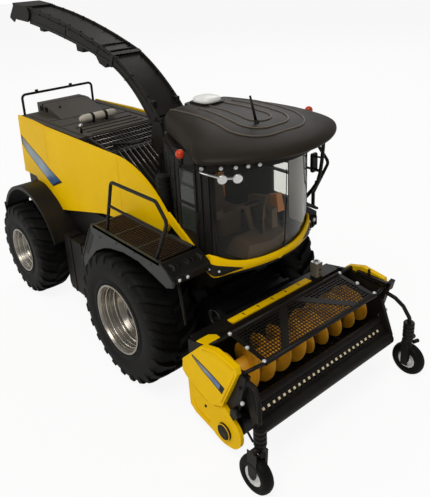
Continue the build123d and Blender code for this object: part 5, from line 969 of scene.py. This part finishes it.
# Header: hose socket, seams, painted strip on the top beam, end brackets and the reel's drive caps
SOCKET_X, SOCKET_Y, SOCKET_HALF, SOCKET_LOW, SOCKET_TOP = 49.0, 30.0, 2.15, 42.9, 50.4
socket = Shape()
profile = ((SOCKET_HALF - 0.2, SOCKET_LOW), (SOCKET_HALF, SOCKET_LOW + 0.4), (SOCKET_HALF, SOCKET_TOP - 0.3),
           (SOCKET_HALF - 0.2, SOCKET_TOP))
rows = [squarish(SOCKET_X, SOCKET_Y, half, half, z, 9.0) for half, z in profile]
socket.rows(rows, 0, False, around=True)
socket.cap(rows[-1], 1)
top = (SOCKET_X, SOCKET_Y, SOCKET_TOP)
socket.turned(top, UP, ((-0.05, 1.55), (0.35, 1.5), (0.4, 1.1)), 24, 1)
socket.turned(top, UP, ((0.3, 1.05), (0.45, 1.0)), 24, 2)
for z in (44.6, 47.0):
    socket.turned((SOCKET_X + SOCKET_HALF, SOCKET_Y, z), FORWARD, ((-0.1, 0.5), (0.3, 0.4)), 12, 2)
place("hose_socket", socket, "header", [socket_grey, silver, black], ("header_socket",))

SEAM_Y, UPPER_SEAM_Y = 45.95, 46.75
SEAMS = (  # y, radius, sides, x and z of the points
    (SEAM_Y, 0.32, 8, ((47.2, 24.8), (52.0, 21.6), (58.0, 19.7), (63.4, 20.6), (67.6, 23.0))),
    (SEAM_Y, 0.22, 6, ((48.0, 15.4), (50.4, 11.4), (58.0, 9.6))),
    (UPPER_SEAM_Y, 0.22, 6, ((57.2, 44.6), (64.4, 46.8), (74.8, 45.2))),
    (UPPER_SEAM_Y, 0.22, 6, ((75.4, 43.2), (67.2, 25.4))),
)
seams = Shape()
for side in (-1, 1):
    for y, r, sides, path in SEAMS:
        seams.tube([(x, side * y, z) for x, z in path], r, sides)
    seams.dot((56.4, side * SEAM_Y, 16.4), (0, side, 0), 0.6, 0.35, 1)
place("shield_seams", seams, "header", [yellow, black])

STRIP_CORNER = ((50.6, -44.0, 43.4), (58.0, -44.0, 45.2), (58.0, -37.4, 45.2), (53.2, -36.0, 43.8),
                (50.6, -38.0, 43.4))
STRIP_T, STRIP_SLOTS, STRIP_FIRST, STRIP_PITCH, STRIP_ENDS = 0.6, 5, -17.0, 8.6, (-25.0, 24.0)
strip = Shape()
strip.box((47.6, STRIP_ENDS[0], 43.0), (51.0, STRIP_ENDS[1], 43.4))
strip.box((50.6, STRIP_ENDS[0], 42.6), (51.2, STRIP_ENDS[1], 43.7))
strip.prism(STRIP_CORNER, [(x, y, z + STRIP_T) for x, y, z in STRIP_CORNER])
for i in range(STRIP_SLOTS):
    y = STRIP_FIRST + i * STRIP_PITCH
    strip.box((48.2, y - 0.25, 43.3), (50.0, y + 0.25, 43.46), 1)
place("header_strip", strip, "header", [yellow, black])

BRACKET_BARS = (((62.6, 42.4, 44.2), (79.8, 44.0, 46.0)), ((68.6, 42.6, 45.8), (69.4, 43.6, 49.0)))
BRACKET_HOOK = (((78.6, 42.4, 42.6), (80.0, 42.4, 42.6), (81.2, 42.4, 46.6), (79.0, 42.4, 46.6)),
                ((78.6, 45.6, 42.6), (80.0, 45.6, 42.6), (81.2, 45.6, 47.4), (79.0, 45.6, 47.4)))
BRACKET = ((58.0, 43.6), (79.4, 42.4), (75.4, 27.0), (72.6, 27.0), (74.6, 39.6), (58.0, 41.4))
bracket = Shape()
for corner, other in BRACKET_BARS:
    bracket.box(corner, other)
bracket.prism(*BRACKET_HOOK)
for side in (-1, 1):
    bracket.plate(BRACKET, side * 42.0, side * 44.6)
    bracket.tube([(74.0, side * 44.6, 24.0), (74.0, side * 46.6, 24.0)], [2.2, 2.0], 20)
    bracket.tube([(71.0, side * 42.4, 19.6), (71.0, side * 45.6, 19.6)], 1.6, 16)
    bracket.dot((77.6, side * 45.0, 30.6), (0.3, side, 0.2), 0.8, 0.8, 1, 14)
    bracket.dot((76.2, side * 44.8, 36.6), (0.3, side, 0.2), 0.7, 0.7, 0, 14)
place("header_brackets", bracket, "header", [black, silver])

REEL_X, REEL_Z, CAP_BOLTS, BOLT_CIRCLE = 67.6, 11.1, 6, 2.5
caps = Shape()
for side in (-1, 1):
    caps.turned((REEL_X, side * 45.6, REEL_Z), (0, side, 0), ((0.0, 3.75), (1.05, 3.6), (1.25, 3.2)), 36)
    caps.turned((REEL_X, side * 46.7, REEL_Z), (0, side, 0), ((0.0, 1.5), (0.25, 1.3)), 20)
    for k in range(CAP_BOLTS):
        turn = 2 * pi * k / CAP_BOLTS
        x, z = REEL_X + BOLT_CIRCLE * sin(turn), REEL_Z + BOLT_CIRCLE * cos(turn)
        caps.dot((x, side * 46.82, z), (0, side, 0), 0.4, 0.3)
place("drive_caps", caps, "header", [black])


# Header: stripper bands over the reel with a closing sheet, and pale pads in the wind guard's slots, painted
# light for the bright floor seen through them
BAND_COUNT, BAND_W, BANDS_HALF, BAND_R, BAND_T = 14, 4.35, 37.0, 7.4, 0.45
bands = Shape()
path = [(56.8, 13.2)] + [(REEL_X - BAND_R * cos(radians(t)), REEL_Z + BAND_R * sin(radians(t)))
                         for t in range(45, 150, 15)]
for i in range(BAND_COUNT):
    y = -BANDS_HALF + (i + 0.5) * 2 * BANDS_HALF / BAND_COUNT
    left, right = y - BAND_W / 2, y + BAND_W / 2
    bands.rows([[(x, left, z), (x, left + 0.4, z + BAND_T), (x, right - 0.4, z + BAND_T), (x, right, z)]
                for x, z in path], 0, False, around=True)
bands.box((57.0, -43.4, 4.6), (57.8, 43.4, 13.3))
bands.box((57.4, -43.4, 4.4), (58.2, 43.4, 5.4))
place("stripper_bands", bands, "header", [black])

# Pale pads at the wind guard's slots: painted light, standing in for the bright floor seen through the slots.
SLOT_COUNT, SLOT_PITCH, SLOT_HALF, SLOT_HALF_Y = 26, 2.9, 1.15, 0.55
SLOT_X, SLOT_Z, GUARD_FALL, SLOT_OUT = 78.95, 24.35, (5.2, 0, -5.6), 0.45
slot_light_pads = Shape()
fall = Vector(GUARD_FALL).normalized()
face = Vector((-fall.z, 0, fall.x))
for i in range(SLOT_COUNT):
    middle = Vector((SLOT_X, (i - (SLOT_COUNT - 1) / 2) * SLOT_PITCH, SLOT_Z)) + face * SLOT_OUT
    corners = [middle + fall * a * SLOT_HALF + Vector((0, b * SLOT_HALF_Y, 0))
               for a, b in ((-1, -1), (1, -1), (1, 1), (-1, 1))]
    slot_light_pads.prism([tuple(p - face * 0.5) for p in corners], [tuple(p + face * 0.12) for p in corners])
place("slot_painted_light", slot_light_pads, "roller_guard", [pale])


# Legs beside the gauge wheels, both on the side that faces the camera
LEG = ((86.4, 19.4), (91.0, 19.4), (91.2, 16.4), (90.4, 8.4), (89.6, 6.9), (88.0, 6.6), (86.8, 7.6),
       (86.2, 15.0))
LEG_SIDES = (("right", -51.15, -51.55, -1), ("left", 46.0, 46.45, 1))  # y of both faces, side
for word, y0, y1, side in LEG_SIDES:
    leg = Shape()
    leg.plate(LEG, y0, y1)
    leg.tube([(88.7, side * 46.4, 19.0), (88.7, side * 51.5, 19.0)], 1.3, 12)
    leg.tube([(90.4, side * 49.0, 17.6), (92.6, side * 49.0, 19.6)], 0.9)
    place(f"castor_leg_{word}", leg, f"castor_{word}", [black])


# Spout: beads and ribs along its edges, rivets, flanges, lugs at its foot, a collar and two hoses under it
def arc_through(a, m, b, count):
    """Points on the arc from a to b through m, in a plane."""
    (ax, ay), (mx, my), (bx, by) = a, m, b
    a2, m2, b2 = ax ** 2 + ay ** 2, mx ** 2 + my ** 2, bx ** 2 + by ** 2
    d = 2 * (ax * (my - by) + mx * (by - ay) + bx * (ay - my))
    ux = (a2 * (my - by) + m2 * (by - ay) + b2 * (ay - my)) / d
    uy = (a2 * (bx - mx) + m2 * (ax - bx) + b2 * (mx - ax)) / d
    start, end = atan2(ay - uy, ax - ux), atan2(by - uy, bx - ux)
    middle = atan2(my - uy, mx - ux)
    turn = (end - start) % (2 * pi)
    if (middle - start) % (2 * pi) > turn:
        turn -= 2 * pi
    r = hypot(ax - ux, ay - uy)
    turns = [start + turn * k / count for k in range(count + 1)]
    return [(ux + r * cos(t), uy + r * sin(t)) for t in turns]


PIVOT_X, PIVOT_Z, BOOM_HALF = -15.0, 112.0, 8.0
LOWER_STEPS, UPPER_STEPS = 12, 24
LUG_AT, FLANGES_AT, COLLAR_AT, HOSE_FROM, HOSE_TO = 4, (8, 15, 24), (13, 15), 4, 22  # steps along the edges
RIB_SHARES, HOSES = (0.22, 0.8), ((-4.2, 1.4), (-2.6, 1.8))  # down the side; y and drop


def boom_edge(foot, lower, knee, upper, tip):
    """One edge of the boom: two arcs that meet at its knee, from points about the pivot."""
    points = arc_through(foot, lower, knee, LOWER_STEPS) + arc_through(knee, upper, tip, UPPER_STEPS)[1:]
    return [(PIVOT_X + x, PIVOT_Z + z) for x, z in points]


top = boom_edge((6.5, -4.5), (-10.6, 13.6), (-37.0, 30.4), (-81.0, 42.4), (-128.5, 50.1))
under = boom_edge((-3.6, -6.4), (-20.6, 14.4), (-43.0, 26.6), (-87.0, 35.6), (-128.5, 41.4))
boom = Shape()
lug_x, lug_z = top[LUG_AT]
for side in (-1, 1):
    y = side * BOOM_HALF
    boom.tube([(x, y, z + 0.75) for x, z in top], 0.5, 8)
    for share in RIB_SHARES:
        rib = [(x0 + (x1 - x0) * share, y, z0 + (z1 - z0) * share) for (x0, z0), (x1, z1) in zip(top, under)]
        boom.tube(rib, 0.42, 6)
    for x, z in top[2:-1:3]:
        boom.dot((x, side * (BOOM_HALF - 0.5), z + 0.9), UP, 0.75, 0.75, 0, 8)
        boom.dot((x, side * (BOOM_HALF + 0.1), z - 1.0), (0, side, 0), 0.5, 0.4, 0, 8)
    for i in FLANGES_AT:
        (x0, z0), (x1, z1) = top[i], under[i]
        boom.tube([(x0, y, z0), (x1, y, z1)], 0.4, 6)
    lug_y = side * (BOOM_HALF - 1.2)
    boom.box((lug_x - 1.8, lug_y - 1.1, lug_z - 1.0), (lug_x + 1.6, lug_y + 1.1, lug_z + 2.0))
for x, z in (top[i] for i in COLLAR_AT):
    boom.tube([(x, -BOOM_HALF, z + 0.35), (x, BOOM_HALF, z + 0.35)], 0.4, 6)
for y, drop in HOSES:
    boom.tube([(x, y, z - drop) for x, z in under[HOSE_FROM:HOSE_TO]], 0.55, 8)
place("boom_trim", boom, "boom", [black])


# Deck: tank straps and their feet, a knob, silver-grey lines on the screens' bars as painted highlights, tiles,
# a hose, the hood's seam
TANK_X, TANK_Z, STRAP_Y, STRAP_FEET = -86.0, 104.5, (-5.2, 3.2), (-88.9, -84.4)
TILE_Z, TILE_TOP, TILE_IN = 101.5, 101.95, 0.3
STRAP = [(-0.75, 2.3), (-0.75, 2.78), (-0.5, 2.86), (0.5, 2.86), (0.75, 2.78), (0.75, 2.3)]
TILES = (  # rear and front x, right and left y
    (-122.0, -106.5, -21.5, -15.6), (-104.0, -91.0, -21.5, -8.0), (-104.0, -91.0, -7.2, 7.2),
    (-104.0, -91.0, 8.0, 21.5), (-122.0, -106.5, 15.6, 21.5),
)
KNOB_X, KNOB_Y, KNOB_R = -70.0, -20.8, 1.15
BAR_HALF, BAR_PITCH, BAR_X = 20.6, 2.94, (-61.0, -56.0, -51.0, -46.0)
SCREEN_REAR, SCREEN_Z, SCREEN_FALL = -62.0, 100.9, 3.5 / 22.0
HOOD_SEAM = ((-128.8, -14.9, 104.6), (-128.2, 14.9, 107.6))
DECK_HOSE = ((-52.6, -20.4, 95.6), (-50.9, -19.8, 97.6), (-46.0, -16.0, 99.2), (-40.0, -13.4, 100.4),
             (-33.1, -12.6, 101.6), (-27.0, -12.4, 103.4), (-22.6, -12.6, 105.4))
deck = Shape()
for y in STRAP_Y:
    deck.lathe((TANK_X, y, TANK_Z), STRAP, 40)
    for x in STRAP_FEET:
        deck.box((x, y - 0.5, TILE_Z), (x + 1.3, y + 0.5, TANK_Z + 0.1))
deck.turned((KNOB_X, KNOB_Y, 101.6), UP, ((0.0, 0.7), (3.6, 0.55)), 12)
deck.turned((KNOB_X, KNOB_Y, 105.75), UP,
            [(KNOB_R * sin(radians(t)), KNOB_R * cos(radians(t))) for t in range(-75, 90, 15)], 20, 1)
# Thin silver-grey lines on the screens' bars: painted highlights.
for y in spaced(-BAR_HALF, BAR_HALF, BAR_PITCH):
    deck.tube([(-39.4, y + 0.3, 97.4), (-25.0, y + 0.3, 88.7)], 0.16, 6, 2)
for x in BAR_X:
    z = SCREEN_Z - (x - SCREEN_REAR) * SCREEN_FALL
    deck.tube([(x, -21.0, z), (x, 21.0, z)], 0.16, 6, 2)
for x0, x1, y0, y1 in TILES:
    low, high = ([(x0 + i, y0 + i, z), (x1 - i, y0 + i, z), (x1 - i, y1 - i, z), (x0 + i, y1 - i, z)]
                 for i, z in ((0.0, TILE_Z), (TILE_IN, TILE_TOP)))
    deck.prism(low, high, 3)
deck.tube(DECK_HOSE, 0.75)
deck.box(*HOOD_SEAM)
deck.tube([(-118.6, -8.0, 105.6), (-118.4, -8.0, 106.6)], [0.9, 0.7], 12)
place("deck_trim", deck, "chassis", [black, steel, rim_grey, deck_grey])


# Flaps that hang from the rear ends of the fenders
FLAP_Y, FLAP_STUDS = (42.6, 26.6), (30.0, 34.4, 38.8)
FLAP = ((-145.2, 47.0), (-144.3, 47.0), (-143.6, 41.0), (-143.4, 35.0), (-144.2, 34.6), (-144.6, 41.0))
for word, side in SIDES:
    flap = Shape()
    flap.plate(FLAP, side * FLAP_Y[0], side * FLAP_Y[1])
    for y in FLAP_STUDS:
        flap.dot((-144.9, side * y, 44.6), (-1, 0, 0), 0.7, 0.5, 1)
    place(f"mud_flap_{word}", flap, "chassis", [black, silver])


# Boxes under the frame between the wheels, each with two straps, clear of the steered tyres
CHEST_Y, CHEST_TOP, CHEST_STRAPS, STRAP_OUT = (37.0, 29.0), 46.0, (-68.0, -56.0), 0.4
CHEST = ((-74.0, 13.0), (-50.0, 13.0), (-47.0, CHEST_TOP), (-75.5, CHEST_TOP), (-75.5, 16.0))
for word, side in SIDES:
    chest = Shape()
    chest.plate(CHEST, side * CHEST_Y[0], side * CHEST_Y[1])
    for x in CHEST_STRAPS:
        chest.box((x - 0.6, side * (CHEST_Y[0] + STRAP_OUT), 12.8),
                  (x + 0.6, side * (CHEST_Y[1] - STRAP_OUT), CHEST_TOP))
    place(f"frame_box_{word}", chest, "chassis", [black])


# Back of the body: a frame with louvres, lamps and a plain plate
BACK_X, BACK_HALF, BACK_LOW, BACK_HIGH = -136.5, 22.0, 72.0, 97.0
LOUVRES, LOUVRE_PITCH, LOUVRE_FIRST, LOUVRE_HALF, LAMPS_Z = 11, 2.15, 73.6, 21.4, 65.0
REAR_LAMPS = ((18.6, 1.3, 0.7, 2), (21.8, 1.1, 0.6, 3))  # y, radius, radius at the end, material
LOUVRE = ((0.6, 0.0), (-0.5, -0.5), (-0.5, 0.1), (0.6, 1.1))
back = Shape()
rim = [(-BACK_HALF, BACK_LOW), (BACK_HALF, BACK_LOW), (BACK_HALF, BACK_HIGH), (-BACK_HALF, BACK_HIGH)]
back.tube([(BACK_X, y, z) for y, z in rim + rim[:1]], 0.6, 8, 1)
for i in range(LOUVRES):
    foot = LOUVRE_FIRST + i * LOUVRE_PITCH
    back.plate([(BACK_X + x, foot + z) for x, z in LOUVRE], -LOUVRE_HALF, LOUVRE_HALF)
for side in (-1, 1):
    back.box((BACK_X - 0.8, side * 17.0, 62.0), (BACK_X + 0.8, side * 23.4, 68.0), 1)
    for y, r, end_r, mark in REAR_LAMPS:
        steps = ((0.7, r), (1.3, r - 0.05), (1.5, end_r))
        back.turned((BACK_X, side * y, LAMPS_Z), (-1, 0, 0), steps, 20, mark)
back.box((BACK_X - 0.5, -6.5, 61.6), (BACK_X + 0.8, 6.5, 65.0), 4)
place("back_louvres", back, "chassis", [black, dark_grey, bead, silver, yellow])


# Housings beside the feeder, under the cab, and pulleys with a bright ring on the feeder's sides
HOUSING_Y, HOUSING_RIBS, PULLEY_BARS = (15.6, 22.4), (24.0, 29.0, 34.0, 39.0), (18.0, 24.0, 30.0)
HOUSING_BOLTS = ((8.0, 43.6), (20.0, 43.0), (22.6, 24.0), (22.8, 38.0))
HOUSING = ((5.0, 20.0), (22.0, 18.0), (24.6, 22.0), (24.6, 40.0), (20.0, 45.6), (5.0, 45.6))
PULLEY_X, PULLEY_Y, PULLEY_Z = 33.9, 20.6, 36.0
PULLEY_RING = [(-0.5, 3.2), (0.5, 3.2), (0.5, 3.7), (-0.5, 3.7)]
PULLEY_DISC = [(-0.6, 0.3), (0.55, 0.3), (0.4, 2.2), (0.2, 3.25), (-0.6, 3.25)]
drive, pulley = Shape(), Shape()
for side in (-1, 1):
    drive.plate(HOUSING, side * HOUSING_Y[0], side * HOUSING_Y[1])
    for z in HOUSING_RIBS:
        drive.box((6.0, side * 22.2, z), (23.6, side * 23.0, z + 1.0))
    for x, z in HOUSING_BOLTS:
        drive.dot((x, side * HOUSING_Y[1], z), (0, side, 0), 0.9, 0.8)
    for mark, outline in enumerate((PULLEY_DISC, PULLEY_RING)):
        pulley.lathe((PULLEY_X, side * PULLEY_Y, PULLEY_Z), outline, 40, mark)
    for z in PULLEY_BARS:
        pulley.box((27.0, side * 19.9, z), (43.6, side * 20.7, z + 1.1))
place("drive_housings", drive, "chassis", [cast_grey])
place("feeder_pulleys", pulley, "header", [cast_grey, steel])


# Studio: three area lamps, an even world, and a pale floor that keeps the shadow
LAMPS = (  # name, place and target in the frame's metres, size, power and colour
    ("key", (0.30, -0.45, 0.95), (0, 0, 0.06), 0.5, 5.6, (1.0, 0.985, 0.95)),
    ("side", (-0.75, -0.7, 0.35), (0, 0, 0.06), 0.4, 1.5, (1.0, 1.0, 1.0)),
    ("back", (-0.5, 0.7, 0.7), (0, 0, 0.08), 0.5, 2.2, (1.0, 1.0, 1.0)),
)
WORLD_LEVEL = 0.32
FLOOR, FLOOR_COLOUR, FLOOR_GLOW = 3.0, (0.93, 0.93, 0.93, 1.0), 0.9
for name, spot, target, size, power, tint in LAMPS:
    data = bpy.data.lights.new(name, "AREA")
    data.shape = "SQUARE"
    data.size, data.energy, data.color = size, power, tint
    lamp = add_object(name, data)
    lamp.location = spot
    lamp.rotation_euler = (Vector(spot) - Vector(target)).to_track_quat("Z", "Y").to_euler()


def seen_ray(tree):
    """1 where the camera sees something straight or through glass, else 0."""
    rays = add_node(tree, "LightPath")
    either = add_node(tree, "Math", "MAXIMUM")
    tree.links.new(rays.outputs["Is Camera Ray"], either.inputs[0])
    tree.links.new(rays.outputs["Is Transmission Ray"], either.inputs[1])
    return either.outputs["Value"]


world = bpy.data.worlds.new("studio")
bpy.context.scene.world = world
world.use_nodes = True
tree = world.node_tree
background = tree.nodes["Background"]
level = add_node(tree, "MapRange", To_Min=WORLD_LEVEL, To_Max=1.0)
tree.links.new(seen_ray(tree), level.inputs["Value"])
tree.links.new(level.outputs["Result"], background.inputs["Strength"])
background.inputs["Color"].default_value = (1.0, 1.0, 1.0, 1.0)

floor_mesh = bpy.data.meshes.new("floor")
floor_mesh.from_pydata([(-FLOOR, -FLOOR, 0), (FLOOR, -FLOOR, 0), (FLOOR, FLOOR, 0), (-FLOOR, FLOOR, 0)], [],
                       [(0, 1, 2, 3)])
floor = add_object("floor", floor_mesh)
floor_material = bpy.data.materials.new("pale_floor")
floor_material.use_nodes = True
tree = floor_material.node_tree
shader = tree.nodes["Principled BSDF"]
shader.inputs["Base Color"].default_value = FLOOR_COLOUR
shader.inputs["Roughness"].default_value = 0.9
glow = add_node(tree, "Emission", Strength=1.0)
share = add_node(tree, "Math", "MULTIPLY")
share.inputs[1].default_value = FLOOR_GLOW
mix = add_node(tree, "MixShader")
tree.links.new(seen_ray(tree), share.inputs[0])
tree.links.new(share.outputs["Value"], mix.inputs["Fac"])
tree.links.new(shader.outputs["BSDF"], mix.inputs[1])
tree.links.new(glow.outputs["Emission"], mix.inputs[2])
tree.links.new(mix.outputs["Shader"], tree.nodes["Material Output"].inputs["Surface"])
floor_mesh.materials.append(floor_material)
